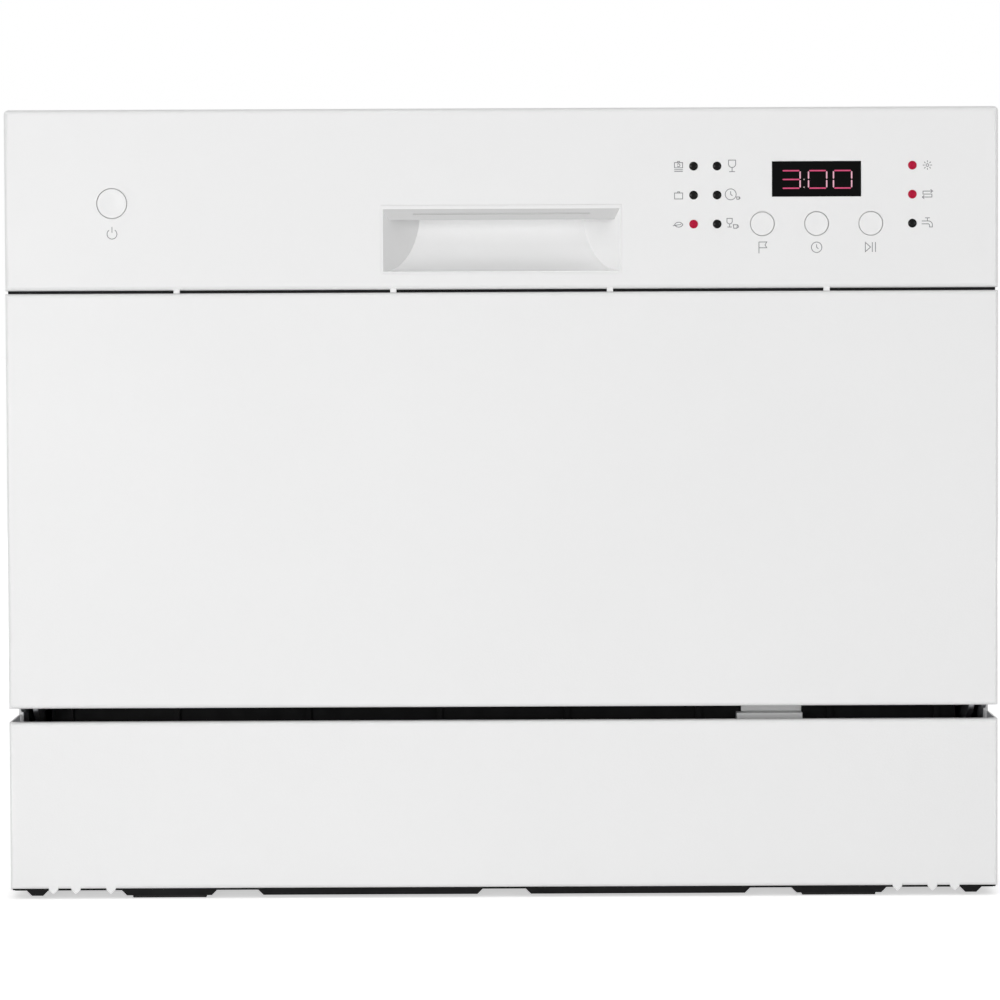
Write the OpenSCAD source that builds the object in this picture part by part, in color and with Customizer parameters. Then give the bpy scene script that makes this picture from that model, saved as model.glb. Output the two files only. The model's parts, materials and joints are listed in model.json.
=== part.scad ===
// Countertop dishwasher for six place settings, with a drop-down door.
// Millimetres, +Z up, the door faces -Y, and the origin is under the middle of the base.

/* [Cabinet] */
// Overall width
body_w = 550; // [520:1:600]
// Overall depth, from the door's face to the tips of the hose connectors
body_d = 500; // [485:1:560]
// Overall height, from the feet to the worktop
body_h = 438; // [430:1:470]
// Thickness of the cabinet's and the door's painted steel
sheet_t = 1; // [0.8:0.1:1.4]
// Thickness of the worktop
worktop_t = 1.5; // [1.2:0.1:2.5]
// How far the worktop's lip turns down over the side panels
worktop_lip = 12; // [8:1:18]
// Radius of the outer edges of the painted panels
edge_r = 2.5; // [1.6:0.1:3]
// Seam between the worktop's lip and a side panel
seam = 0.3; // [0.1:0.1:0.8]
// How far the hose connectors stand out behind the rear panel
connector_reach = 14; // [12:1:20]
// Width of the inward return at the front edge of a side panel
side_return = 5; // [4:0.5:5]

/* [Base] */
// Height of the underside of the tray's walls
tray_z = 4.4; // [4:0.1:4.8]
// Height of the tray's walls
tray_h = 32; // [24:1:40]
// Thickness of the tray's walls and floor
tray_t = 3; // [2:0.5:4]
// How far the runners reach below the tray's walls
runner_drop = 2.9; // [2:0.1:3.5]
// Depth of a runner, front to back
runner_d = 10; // [8:1:16]
// Height of the underside of the kick plate
kick_z = 5; // [4.8:0.1:8]
// Height of the top edge of the kick plate
kick_top = 98.4; // [94:0.2:104]

/* [Door] */
// Gap between the kick plate and the door
toe_gap = 7.6; // [7:0.1:9]
// Height of the control console
console_h = 100; // [95:1:110]
// Gap between the door panel and the console
console_gap = 1.6; // [1:0.1:3]
// Thickness of the door
door_t = 47; // [44:1:50]
// Gap between the closed door and the cabinet
door_gap = 2; // [1.6:0.1:4]
// Depth of the door liner's face inside the rear edge of the door
liner_inset = 2.5; // [2:0.1:3]
// Distance from the side of the door to the side of the liner
liner_edge = 26; // [25.5:0.5:27]
// Depth of the pressed panel in the middle of the liner
liner_press = 4; // [2:0.5:5]
// Distance from the door's face to the hinge axis
hinge_in = 10; // [9:0.5:11]
// Clearance between the open door and the kick plate
swing_clear = 2; // [1.6:0.1:4]
// Radius of the hinge pins
hinge_pin_r = 3.5; // [2.5:0.1:4]
// Running clearance of pins in their holes
run_clear = 0.06; // [0.03:0.01:0.1]
// Clearance between pieces that move past each other
move_clear = 0.3; // [0.2:0.05:0.5]

/* [Handle and latch] */
// Width of the grip recess
grip_w = 131; // [110:1:140]
// Height and depth of the grip recess, which is a quarter round
grip_h = 35.5; // [30:0.5:36]
// Distance from the top of the console to the top of the recess
grip_drop = 54.5; // [52:0.5:57]
// How far the recess's ends slant inwards at full depth
grip_slant = 20; // [10:1:24]
// Wall of the recess
grip_wall = 2; // [1.5:0.1:3]
// Width of the recess's rim, flush with the console
grip_rim = 1; // [0.8:0.1:2]
// Height of the slanted lip under the recess's top edge
grip_lip = 5; // [4:0.1:5.2]
// Width of the pull lever
lever_w = 98; // [80:1:104]
// Angle that the pull lever turns
lever_turn = 12; // [8:1:14]
// Height of the latch's axis below the worktop
latch_drop = 11; // [10.6:0.1:12]

/* [Controls] */
// Distance of the display's middle from the door's middle
display_x = 174.4; // [160:0.2:185]
// Width of the display window
display_w = 49; // [40:0.5:56]
// Height of the display window
display_h = 19.2; // [16:0.2:22]
// Depth of the display's middle below the top
display_drop = 39.8; // [38:0.2:42]
// Radius of the three programme buttons
button_r = 6.5; // [5:0.1:7.5]
// Spacing of the programme buttons
button_pitch = 30; // [26:0.5:32]
// Radius of the power button
power_r = 8.2; // [6:0.1:9]
// Distance of the power button from the door's middle
power_x = 215.4; // [190:0.2:225]
// Depth of the power button below the top
power_drop = 51.8; // [40:0.2:60]
// Travel of a button
button_travel = 1.2; // [0.8:0.1:1.5]
// Radius of an indicator lens
led_r = 2.4; // [2:0.1:3]
// Depth of the first row of indicators below the top
led_drop = 32.5; // [30:0.5:36]
// Spacing of the rows of indicators
led_pitch = 16; // [14:0.5:18]
// Wall of the console
console_t = 2.5; // [2:0.1:3]

/* [Tub] */
// Distance from the cabinet's side to the inside of the tub
tub_side = 35; // [34.5:0.5:40]
// Distance from the top of the cabinet to the tub's ceiling
tub_head = 30; // [28:0.5:34]
// Height of the tub's floor
tub_z = 122; // [121:0.5:124]
// Distance from the rear panel's face to the tub's rear wall
tub_tail = 36; // [34:1:44]
// Thickness of the tub's stainless steel
tub_t = 1; // [0.8:0.1:1.2]
// Radius of the tub's upper corners
tub_r = 12; // [6:1:20]
// Width of the door gasket
gasket_w = 7; // [5:0.5:8]
// Radius of the mouth of the sump's well
well_r = 118; // [112:1:122]
// Depth of the well in the floor
well_d = 8; // [6:0.5:9]

/* [Rack] */
// Radius of a rack wheel
wheel_r = 12; // [10:0.5:12.5]
// Gap between a rack wheel and the channel above and below it
rail_gap = 0.8; // [0.3:0.1:1]
// Width of a rack wheel
wheel_w = 10; // [6:0.5:11]
// Half width of the rack, to the middle of its side wires
rack_hw = 205; // [190:1:206]
// Height of the rack, from its lowest wires to its rim
rack_h = 110; // [95:1:125]
// Thickness of the rim wire
rim_d = 5; // [4:0.1:6]
// Thickness of the other wires
wire_d = 3.6; // [3:0.1:4.4]
// Length of a plate tine
tine_l = 72; // [50:1:74]
// Spacing of the plate tines
tine_pitch = 24; // [20:1:26]
// Width of the cup shelf
shelf_w = 98; // [70:1:104]
// Height of the cutlery basket's walls
basket_h = 98; // [70:1:100]
// Width of the cutlery basket
basket_w = 76; // [60:1:78]
// Length of the cutlery basket
basket_l = 140; // [100:1:144]
// Wall of the cutlery basket
basket_t = 2; // [1.5:0.1:3]

/* [Water system] */
// Reach of the spray arm from its middle
spray_reach = 178; // [150:1:180]
// Radius of the riser pipe that carries the spray arm
riser_r = 14; // [11:0.5:15]
// Radius of the lift-out filter
filter_r = 27; // [22:0.5:30]
// Radius of the heater's ring
heater_r = 140; // [136:1:146]
// Thickness of the heater's tube
heater_d = 8; // [6:0.2:8.4]
// Radius of the softener's salt cap
salt_r = 31; // [26:0.5:33]
// Radius of the wash pump's motor
motor_r = 34; // [28:0.5:36]
// Radius of the threaded water inlet
inlet_r = 13.2; // [12:0.1:14]
// Radius of the drain spout
drain_r = 9; // [8:0.1:10]
// Radius of the hole in the cord gland
cord_r = 4; // [3.5:0.1:4.5]

/* [Hidden] */
$fn = 64;

// ---- outer faces
side_x = body_w / 2;
front_y = -body_d / 2;
rear_y = body_d / 2;
rear_face = rear_y - connector_reach;
in_x = side_x - sheet_t;
console_z = body_h - console_h;
door_top = console_z - console_gap;
door_z = kick_top + toe_gap;
door_rear = front_y + door_t;
cab_y = door_rear + door_gap;
frame_y = cab_y + sheet_t;
liner_y = door_rear - liner_inset;
liner_x = side_x - liner_edge;
liner_z = door_z + 8;
liner_top = body_h - 6;
liner_depth = 26;

// ---- hinge axis, and the level at which the open door's liner lies
hinge_y = front_y + hinge_in;
hinge_z = kick_top + hinge_in + swing_clear;
open_z = hinge_z + (liner_y - hinge_y);
bracket_x = [side_x - 9, side_x - 6];
arm_x = [side_x - 16, side_x - 13];
arm_mid = (arm_x[0] + arm_x[1]) / 2;
leg_reach = 50;
leg_drop = 26;
spring_y = hinge_y + leg_reach;
spring_z = hinge_z - leg_drop;
anchor_y = frame_y + 160;
anchor_z = 50;
hook_r = 4;

// ---- tub
tub_x = side_x - tub_side;
tub_top = body_h - tub_head;
tub_y = frame_y + sheet_t;
tub_rear = rear_face - tub_tail;
floor_under = tub_z - tub_t;

// ---- tray
tray_floor = tray_z + 6;
tray_x = in_x;
tray_front = front_y + sheet_t;
tray_rear = rear_face - sheet_t;
runner_z = tray_z - runner_drop;
lip_z = hinge_z - 2.9;
bulkhead_y = [frame_y - 14, frame_y - 11];
bulkhead_x = side_x - 20;
bulkhead_rib_x = [36, 110, 184, bulkhead_x - 11];

// ---- rack
rail_top = open_z + 2;
rail_t = 2;
wheel_x = (rack_hw + tub_x - 1) / 2;
rail_in = wheel_x - wheel_w / 2 - 2;
axle_z = rail_top + rail_gap + wheel_r;
axle_r = 2.2;
rack_z = rail_top + 11;
rim_z = rack_z + rack_h;
rack_front = front_y + 90;
rack_lean = 28;
rack_rear = tub_rear - 20;
weld = 0.4;
wire_r = wire_d / 2;
bead = 0.25;
tine_r = wire_r - 0.3;
long_z = rack_z + wire_d - weld;
cross_y = [for (i = [0:5]) rack_front + 12 + i * (rack_rear - rack_front - 24) / 5];
long_x = [for (i = [-5:5]) i * 36];
front_wheel_y = cross_y[0];
rear_wheel_y = cross_y[4];
tine_x = [for (i = [-3.5:1:3.5]) i * tine_pitch];
fold_y = cross_y[2] + 34;
fold_z = long_z + 4.8;
clip_r = 4.4;
clip_w = 5;
clip_x = [-72, 0, 72];
shelf_x = -rack_hw + clip_r + 1;
shelf_z = rim_z - 10;
shelf_clip_y = [cross_y[1], cross_y[3]];
basket_x = rack_hw - 83;
basket_y = rack_front + 12;
basket_z = long_z + wire_r + move_clear;

// ---- water system
well_c = [30, -20];
filter_c = [78, -50];
riser_top = tub_z + 18;
blade_z = tub_z + 13;
blade_t = 9;
plate_z = tub_z - well_d;
salt_c = [-tub_x + 68, tub_rear - 65];
heater_gap = 9;
heater_end = heater_r * [sin(heater_gap), cos(heater_gap)];
pump_z = 58;
pump_end = side_x - 35;
pump_in = pump_end - 111;
pump_y = 0;
drain_c = [-62, -70, 48];
inlet_c = [-side_x + 75, 70];
outlet_c = [-side_x + 135, 70];
gland_c = [side_x - 75, 50];
float_c = [side_x - 125, front_y + 100];
float_r = 24;
air_z = [tub_z + 68, tub_top - 18];
post_r = 3;

// ---- door fittings
latch_z = body_h - latch_drop;
latch_y = liner_y - 17;
strike_y = frame_y + 7;
grip_top = body_h - grip_drop;
grip_z = grip_top - grip_h;
lever_y = front_y + 13;
lever_z = grip_top + 9;
lever_t = 3;
led_x = [display_x - 68, display_x - 55, display_x + 53];
button_x = [for (i = [-1:1]) display_x + i * button_pitch];
button_z = body_h - led_drop - 2 * led_pitch;
board_y = front_y + 12;
board_t = 1.6;
board_x = [display_x - 86, display_x + 78];
board_z = [button_z - 15, body_h - led_drop + 14];
power_z = body_h - power_drop;
dispenser_x = [-52, 102];
dispenser_z = [door_z + 72, door_z + 206];
cup_x = [-42, 42];
cup_z = [dispenser_z[0] + 58, dispenser_z[0] + 122];
cap_c = [76, dispenser_z[0] + 90];
cap_r = 15;
lid_t = 3;
lid_y = liner_y + 2.8;
lid_travel = 50;
screw_r = 1.8;
screw_head_r = 4;
panel_screw_x = [for (i = [-1:1]) i * (side_x - 8)];
panel_screw_z = [for (i = [0:3]) 40 + i * (body_h - 108) / 3];

// ==== shapes that repeat =============================================================

// A box between two corners, given as one range for each axis.
module slab(x, y, z) {
    translate([x[0], y[0], z[0]]) cube([x[1] - x[0], y[1] - y[0], z[1] - z[0]]);
}

// A flat outline in Y and Z, carried along X.
module along_x(x) {
    translate([x[0], 0, 0]) rotate([90, 0, 90]) linear_extrude(x[1] - x[0]) children();
}

// A flat outline in X and Z, carried along Y.
module along_y(y) {
    translate([0, y[1], 0]) rotate([90, 0, 0]) linear_extrude(y[1] - y[0]) children();
}

module both_sides() {
    children();
    mirror([1, 0, 0]) children();
}

// A round bar between two points.
module bar(a, b, r) {
    v = b - a;
    translate(a) rotate([0, acos(v.z / norm(v)), atan2(v.y, v.x)]) cylinder(r = r, h = norm(v));
}

module ball(p, r) {
    translate(p) sphere(r = r);
}

module rod_x(x, y, z, r) {
    translate([x[0], y, z]) rotate([0, 90, 0]) cylinder(r = r, h = x[1] - x[0]);
}

module rod_y(x, y, z, r) {
    translate([x, y[0], z]) rotate([-90, 0, 0]) cylinder(r = r, h = y[1] - y[0]);
}

module rod_z(x, y, z, r) {
    translate([x, y, z[0]]) cylinder(r = r, h = z[1] - z[0]);
}

module rect(x, y) {
    translate([x[0], y[0]]) square([x[1] - x[0], y[1] - y[0]]);
}

// A rectangle with four round corners.
module round_rect(x, y, r) {
    rect([x[0] + r, x[1] - r], y);
    rect(x, [y[0] + r, y[1] - r]);
    for (cx = [x[0] + r, x[1] - r], cy = [y[0] + r, y[1] - r]) translate([cx, cy]) circle(r);
}

// A rectangle whose two corners at its low first side are round.
module nose_rect(u, v, r) {
    rect([u[0] + r, u[1]], v);
    rect([u[0], u[0] + r], [v[0] + r, v[1] - r]);
    for (c = [v[0] + r, v[1] - r]) translate([u[0] + r, c]) circle(r);
}

// A block with round edges all round its front face.
module front_block(x, y, z, r) {
    intersection() {
        along_x(x) nose_rect(y, z, r);
        translate([0, 0, z[0]]) mirror([1, -1, 0]) linear_extrude(z[1] - z[0]) nose_rect(y, x, r);
    }
}

// A pan that is open at the back: a front face turned into four returns.
module pan(x, y, z, wall, r) {
    difference() {
        front_block(x, y, z, r);
        front_block([x[0] + wall, x[1] - wall], [y[0] + wall, y[1] + 1], [z[0] + wall, z[1] - wall], r - wall);
    }
}

// A flat link with round ends, in Y and Z.
module link(a, b, ra, rb) {
    d = b - a;
    n = [-d.y, d.x] / norm(d);
    polygon([a + n * ra, b + n * rb, b - n * rb, a - n * ra]);
    translate(a) circle(ra);
    translate(b) circle(rb);
}

// A quarter bend of a tube in the plane of u and v, from centre c.
module bend(c, turn, bend_r, r, angle = 90) {
    translate(c) rotate(turn) rotate_extrude(angle = angle) translate([bend_r, 0]) circle(r);
}

// A pan-head screw along +Y, with its head's underside at y.
module screw_y(x, y, z, length, head_h = 1.6) {
    rod_y(x, [y - length, y], z, screw_r);
    difference() {
        rod_y(x, [y, y + head_h], z, screw_head_r);
        slab([x - 2.5, x + 2.5], [y + head_h - 0.8, y + head_h + 1], [z - 0.4, z + 0.4]);
        slab([x - 0.4, x + 0.4], [y + head_h - 0.8, y + head_h + 1], [z - 2.5, z + 2.5]);
    }
}

// ==== base ===========================================================================

// One runner: a block with slanted ends, seen from the front.
module runner(x, y) {
    c = runner_drop;
    along_y(y) polygon([[x[0], tray_z + 1], [x[0], tray_z], [x[0] + c, runner_z],
                        [x[1] - c, runner_z], [x[1], tray_z], [x[1], tray_z + 1]]);
}

runner_x = [[12, side_x - 138], [side_x - 115, side_x - 62], [side_x - 21, side_x - 9]];

module base_tray() {
    front = [tray_front, tray_front + runner_d];
    rear = [tray_rear - runner_d, tray_rear];
    color([0.07, 0.07, 0.075]) difference() {
        union() {
            difference() {
                slab([-tray_x, tray_x], [tray_front, tray_rear], [tray_z, tray_z + tray_h]);
                slab([-tray_x + tray_t, tray_x - tray_t], [tray_front + tray_t, tray_rear - tray_t],
                     [tray_floor, tray_z + tray_h + 1]);
                slab([-tray_x + runner_d, tray_x - runner_d], [front[1], rear[0]],
                     [tray_z - 1, tray_floor - tray_t]);
            }
            both_sides() for (x = runner_x, y = [front, rear]) runner(x, y);
            // Lugs that the hinge springs hook on.
            both_sides() slab([arm_mid - 1.5, arm_mid + 1.5], [anchor_y, anchor_y + 14],
                              [tray_floor - 1, anchor_z + 6]);
            // Post that guides the overflow float.
            rod_z(float_c.x, float_c.y, [tray_floor - 1, tray_floor + 42], post_r);
            bulkhead();
        }
        both_sides() rod_x([arm_mid - 5, arm_mid + 5], anchor_y + 4, anchor_z, 2.4);
        // Room for the kick plate's rounded corners.
        both_sides() slab([side_x - edge_r, side_x], [tray_front - 1, front_y + edge_r], [0, tray_z + tray_h + 1]);
        for (x = [inlet_c.x, outlet_c.x]) rod_y(x, [tray_rear - tray_t - 1, tray_rear + 1], inlet_c.y, inlet_r + 4);
        both_sides() for (y = [front, rear])
            translate([0, 0, -1]) slab([runner_x[1][0] + 6, runner_x[1][1] - 6], [y[0] + 2, y[1] - 2],
                                       [runner_z, runner_z + 2]);
    }
}

// Ribbed front wall that rises from the tray's floor to the lip of the tub's front frame.
module bulkhead() {
    foot = tub_x - 2;
    slab([-foot, foot], bulkhead_y, [tray_floor - 1, tray_z + tray_h]);
    slab([-bulkhead_x, bulkhead_x], bulkhead_y, [tray_floor + 6, lip_z]);
    both_sides() for (x = bulkhead_rib_x)
        slab([x - 1.5, x + 1.5], [bulkhead_y[0] - 3, bulkhead_y[1]], [tray_z + tray_h, lip_z]);
}

module rubber_feet() {
    front = [tray_front, tray_front + runner_d];
    rear = [tray_rear - runner_d, tray_rear];
    color([0.05, 0.05, 0.05]) both_sides() for (y = [front, rear])
        slab([runner_x[1][0] + 6, runner_x[1][1] - 6], [y[0] + 2, y[1] - 2], [0, runner_z + 1]);
}

module kick_plate() {
    color([0.93, 0.93, 0.93]) {
        difference() {
            pan([-side_x, side_x], [front_y, door_rear], [kick_z, kick_top], sheet_t, edge_r);
            slab([-in_x, in_x], [front_y + 6, door_rear + 1], [kick_top - 20, kick_top + 1]);
            slab([-in_x, in_x], [tray_front, door_rear + 1], [kick_z - 1, kick_z + edge_r]);
        }
        both_sides() for (x = [219, 238.5, 251]) kick_tab(x);
    }
}

// A small tab that the kick plate hangs below the tray's edge with.
module kick_tab(x) {
    along_y([front_y, tray_front]) polygon([[x - 2.6, kick_z + 4], [x - 2.6, kick_z], [x, kick_z - 2.6],
                                            [x + 2.6, kick_z], [x + 2.6, kick_z + 4]]);
}

// White clip behind the toe gap, which stands against the tray's bulkhead.
module frame_clip() {
    x = [side_x - 144, side_x - 107];
    color([0.92, 0.92, 0.92]) {
        slab(x, [frame_y - 26, frame_y - 16], [tray_floor, kick_top + 1.6]);
        slab([x[0] + 3, x[1]], [frame_y - 16, bulkhead_y[0]], [tray_floor, lip_z]);
    }
}

// ==== cabinet ========================================================================

module side_panel() {
    z = [tray_z + 4, body_h - worktop_lip - seam];
    color([0.93, 0.93, 0.93]) difference() {
        union() {
            slab([in_x, side_x], [cab_y, rear_face], z);
            slab([side_x - side_return, side_x], [cab_y, cab_y + sheet_t], [tray_z + tray_h, z[1]]);
            slab([side_x - 14, side_x], [rear_face - 2 * sheet_t, rear_face - sheet_t], [tray_z + tray_h, z[1]]);
        }
        for (h = panel_screw_z) rod_y(side_x - 8, [rear_face - 9, rear_face + 1], h, screw_r + 0.1);
    }
}

module side_panel_left() {
    mirror([1, 0, 0]) side_panel();
}

module side_panel_right() {
    side_panel();
}

module worktop() {
    x = [-side_x, side_x];
    y = [cab_y, rear_face];
    z = [body_h - worktop_lip, body_h];
    color([0.93, 0.93, 0.93]) difference() {
        intersection() {
            translate([0, y[1], 0]) rotate([90, 0, 0]) linear_extrude(y[1] - y[0])
                round_rect(x, [z[0] - 10, z[1]], edge_r);
            along_x(x) round_rect(y, [z[0] - 10, z[1]], 1.2);
            slab([x[0] - 1, x[1] + 1], [y[0] - 1, y[1] + 1], [z[0], z[1] + 1]);
        }
        slab([-side_x + worktop_t, side_x - worktop_t],
             [frame_y, rear_face - sheet_t], [z[0] - 1, body_h - worktop_t]);
        slab([-liner_x, liner_x], [cab_y - 1, frame_y + 1], [z[0] - 1, body_h - worktop_t]);
    }
}

module rear_panel() {
    x = side_x - 3;
    y = [rear_face - sheet_t, rear_face];
    color([0.9, 0.9, 0.9]) difference() {
        slab([-in_x, in_x], y, [tray_z + 4, body_h - worktop_lip - seam]);
        for (h = panel_screw_z, s = [-1, 1]) rod_y(s * (side_x - 8), [y[0] - 1, y[1] + 1], h, screw_r + 0.1);
        rod_y(inlet_c.x, [y[0] - 1, y[1] + 1], inlet_c.y, inlet_r + 1);
        rod_y(outlet_c.x, [y[0] - 1, y[1] + 1], outlet_c.y, drain_r + 1);
        rod_y(gland_c.x, [y[0] - 1, y[1] + 1], gland_c.y, 8);
        // Air slots.
        for (i = [-3:3], h = [tub_z - 38, tub_z - 26])
            slab([i * 24 - 8, i * 24 + 8], [y[0] - 1, y[1] + 1], [h, h + 4]);
    }
}

// ==== tub ============================================================================

module front_frame() {
    y = [frame_y, tub_y];
    color([0.78, 0.79, 0.8]) difference() {
        union() {
            slab([-side_x + 2, side_x - 2], y, [lip_z, body_h - worktop_t]);
            slab([-liner_x + 1, liner_x - 1], [hinge_y + 10, tub_y], [lip_z, lip_z + sheet_t]);
        }
        along_y([y[0] - 1, y[1] + 1]) round_rect([-tub_x, tub_x], [tub_z, tub_top], tub_r);
        slab([-tub_x, tub_x], [y[0] - 1, y[1] + 1], [tub_z, tub_z + tub_r]);
        // Slots for the hinges, and the window for the latch.
        both_sides() slab([arm_x[0] - 2.5, side_x], [y[0] - 1, y[1] + 1], [lip_z - 1, hinge_z + 62]);
        slab([-16, 16], [y[0] - 1, y[1] + 1], [latch_z - 11, latch_z + 7.5]);
        both_sides() slab([in_x - 1, side_x], [y[0] - 1, y[1] + 1], [0, body_h]);
    }
}

module door_gasket() {
    y = [liner_y + move_clear, frame_y];
    x = tub_x + 1;
    z = tub_top + 1;
    color([0.25, 0.25, 0.26]) difference() {
        along_y(y) round_rect([-x - gasket_w, x + gasket_w], [liner_z + 6, z + gasket_w], tub_r + gasket_w);
        along_y([y[0] - 1, y[1] + 1]) round_rect([-x, x], [liner_z - 14, z], tub_r);
        slab([-x - gasket_w - 1, x + gasket_w + 1], [y[0] - 1, y[1] + 1], [0, tub_z]);
    }
}

module tub_wrap() {
    color([0.8, 0.81, 0.82]) along_y([tub_y, tub_rear]) difference() {
        round_rect([-tub_x - tub_t, tub_x + tub_t], [tub_z - 40, tub_top + tub_t], tub_r + tub_t);
        round_rect([-tub_x, tub_x], [tub_z - 60, tub_top], tub_r);
        rect([-side_x, side_x], [tub_z - 80, tub_z]);
    }
}

module tub_back() {
    color([0.8, 0.81, 0.82])
        slab([-tub_x - tub_t, tub_x + tub_t], [tub_rear, tub_rear + tub_t], [floor_under, tub_top + tub_t]);
}

module tub_floor() {
    color([0.8, 0.81, 0.82]) difference() {
        union() {
            difference() {
                slab([-tub_x - tub_t, tub_x + tub_t], [tub_y, tub_rear], [floor_under, tub_z]);
                rod_z(well_c.x, well_c.y, [tub_z - 9, tub_z + 1], well_r - 1);
            }
            // The funnel that leads to the well.
            translate([well_c.x, well_c.y, 0]) rotate_extrude()
                polygon([[well_r, tub_z], [well_r - 24, plate_z], [well_r - 34, plate_z],
                         [well_r - 34, plate_z - tub_t], [well_r - 24.5, plate_z - tub_t], [well_r, floor_under]]);
        }
        rod_z(salt_c.x, salt_c.y, [tub_z - 9, tub_z + 1], salt_r + 3.2);
        for (s = [-1, 1]) rod_z(s * heater_end.x, heater_end.y, [tub_z - 9, tub_z + 1], heater_d / 2 + 0.85);
    }
}

// Channels that the rack's wheels run in.
module rack_rails() {
    top = axle_z + wheel_r + rail_gap;
    color([0.75, 0.76, 0.78]) both_sides() {
        slab([rail_in, tub_x], [tub_y + 3, tub_rear - 8], [rail_top - rail_t, rail_top]);
        slab([rail_in, tub_x], [tub_y + 3, tub_rear - 8], [top, top + rail_t]);
        slab([tub_x - rail_t, tub_x], [tub_y + 3, tub_rear - 8], [rail_top - rail_t, top + rail_t]);
    }
}

// ==== water system ===================================================================

module sump() {
    r = well_r - 28;
    rim = plate_z - tub_t;
    bottom = 40;
    core_r = filter_r + 5;
    color([0.35, 0.36, 0.38]) difference() {
        union() {
            rod_z(well_c.x, well_c.y, [84, rim], r);
            rod_z(filter_c.x, filter_c.y, [bottom, 90], core_r + 3);
            rod_z(0, 0, [bottom + 10, riser_top], riser_r);
            rod_x([60, pump_in], pump_y, pump_z, 16);
            rod_x([drain_c.x - 10, filter_c.x], drain_c.y + 20, drain_c.z + 4, 10);
        }
        difference() {
            rod_z(well_c.x, well_c.y, [87, rim + 1], r - 3);
            rod_z(0, 0, [80, rim + 2], riser_r);
        }
        rod_z(filter_c.x, filter_c.y, [bottom + 3, 91], core_r);
        rod_z(0, 0, [bottom + 13, riser_top + 1], riser_r - 3);
    }
}

module filter_plate() {
    r = well_r - 25;
    holes = 4;
    color([0.7, 0.71, 0.72]) difference() {
        rod_z(well_c.x, well_c.y, [plate_z, plate_z + 1.2], r);
        rod_z(0, 0, [plate_z - 1, plate_z + 2], riser_r + 0.4);
        rod_z(filter_c.x, filter_c.y, [plate_z - 1, plate_z + 2], filter_r + 0.6);
        for (a = [0:15:345]) translate([well_c.x, well_c.y, plate_z - 1]) rotate(a) translate([r - 8, 0, 0])
            cylinder(r = 2.2, h = 4);
    }
}

// Lift-out filter: a caged cylinder with a grip across its top.
module filter_core() {
    top = tub_z + 4;
    color([0.28, 0.3, 0.33]) translate([filter_c.x, filter_c.y, 0]) {
        difference() {
            translate([0, 0, 50]) cylinder(r = filter_r, h = top - 50);
            translate([0, 0, 53]) cylinder(r = filter_r - 2.5, h = top);
            for (a = [0:45:315], z = [57, 79]) rotate(a)
                translate([filter_r - 6, -6, z]) cube([12, 12, 16]);
        }
        translate([-filter_r + 1, -3, top - 8]) cube([2 * filter_r - 2, 6, 12]);
        difference() {
            translate([0, 0, plate_z + 1.5]) cylinder(r = filter_r + 5, h = 2.5);
            translate([0, 0, plate_z]) cylinder(r = filter_r - 1, h = 6);
        }
    }
}

module spray_blade() {
    translate([0, 0, blade_z]) linear_extrude(blade_t) {
        polygon([[0, -16], [0, 16], [spray_reach - 9, 9], [spray_reach - 9, -9]]);
        translate([spray_reach - 9, 0]) circle(9);
    }
}

module spray_arm() {
    hub = riser_r + 4;
    color([0.55, 0.57, 0.6]) difference() {
        union() {
            spray_blade();
            rotate(180) spray_blade();
            rod_z(0, 0, [blade_z - 7, blade_z + blade_t + 1], hub);
            rod_z(0, 0, [blade_z + blade_t, blade_z + blade_t + 5], hub - 6);
            for (a = [0, 180], d = [45, 85, 125, 158]) rotate(a)
                translate([d, d % 2 == 0 ? 0 : 3, blade_z + blade_t]) cylinder(r1 = 4, r2 = 2.6, h = 1.6);
        }
        rod_z(0, 0, [blade_z - 8, riser_top + move_clear], riser_r + move_clear);
        for (a = [0, 180], d = [45, 85, 125, 158]) rotate(a)
            translate([d, d % 2 == 0 ? 0 : 3, blade_z + blade_t - 2]) cylinder(r = 1.3, h = 5);
    }
}

module heating_element() {
    r = heater_d / 2;
    z = tub_z + 1 + r;
    color([0.5, 0.5, 0.5]) {
        translate([0, 0, z]) rotate(90 + heater_gap) rotate_extrude(angle = 360 - 2 * heater_gap)
            translate([heater_r, 0]) circle(r);
        // Terminals that go through the floor.
        for (s = [-1, 1]) rod_z(s * heater_end.x, heater_end.y, [floor_under - 14, z + r + 0.6], r + 0.8);
    }
}

module softener_tank() {
    x = [salt_c.x - 50, salt_c.x + 62];
    y = [salt_c.y - 75, salt_c.y + 50];
    color([0.85, 0.86, 0.88]) difference() {
        union() {
            slab(x, y, [tray_floor, floor_under]);
            rod_z(salt_c.x, salt_c.y, [floor_under - 1, tub_z + 4], salt_r + 3);
        }
        slab([x[0] + 2.5, x[1] - 2.5], [y[0] + 2.5, y[1] - 2.5], [tray_floor + 2.5, floor_under - 6]);
        rod_z(salt_c.x, salt_c.y, [floor_under - 12, tub_z + 5], salt_r - 5);
    }
}

module salt_cap() {
    top = tub_z + 4 + move_clear;
    color([0.3, 0.32, 0.35]) translate([salt_c.x, salt_c.y, 0]) {
        translate([0, 0, top]) cylinder(r = salt_r + 1, h = 5);
        translate([0, 0, floor_under - 4]) cylinder(r = salt_r - 5 - move_clear, h = top - floor_under + 4);
        translate([-salt_r + 5, -3, top + 4]) cube([2 * salt_r - 10, 6, 9]);
        for (a = [0:30:330]) rotate(a) translate([salt_r + 0.6, 0, top]) cylinder(r = 1.2, h = 5);
    }
}

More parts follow.
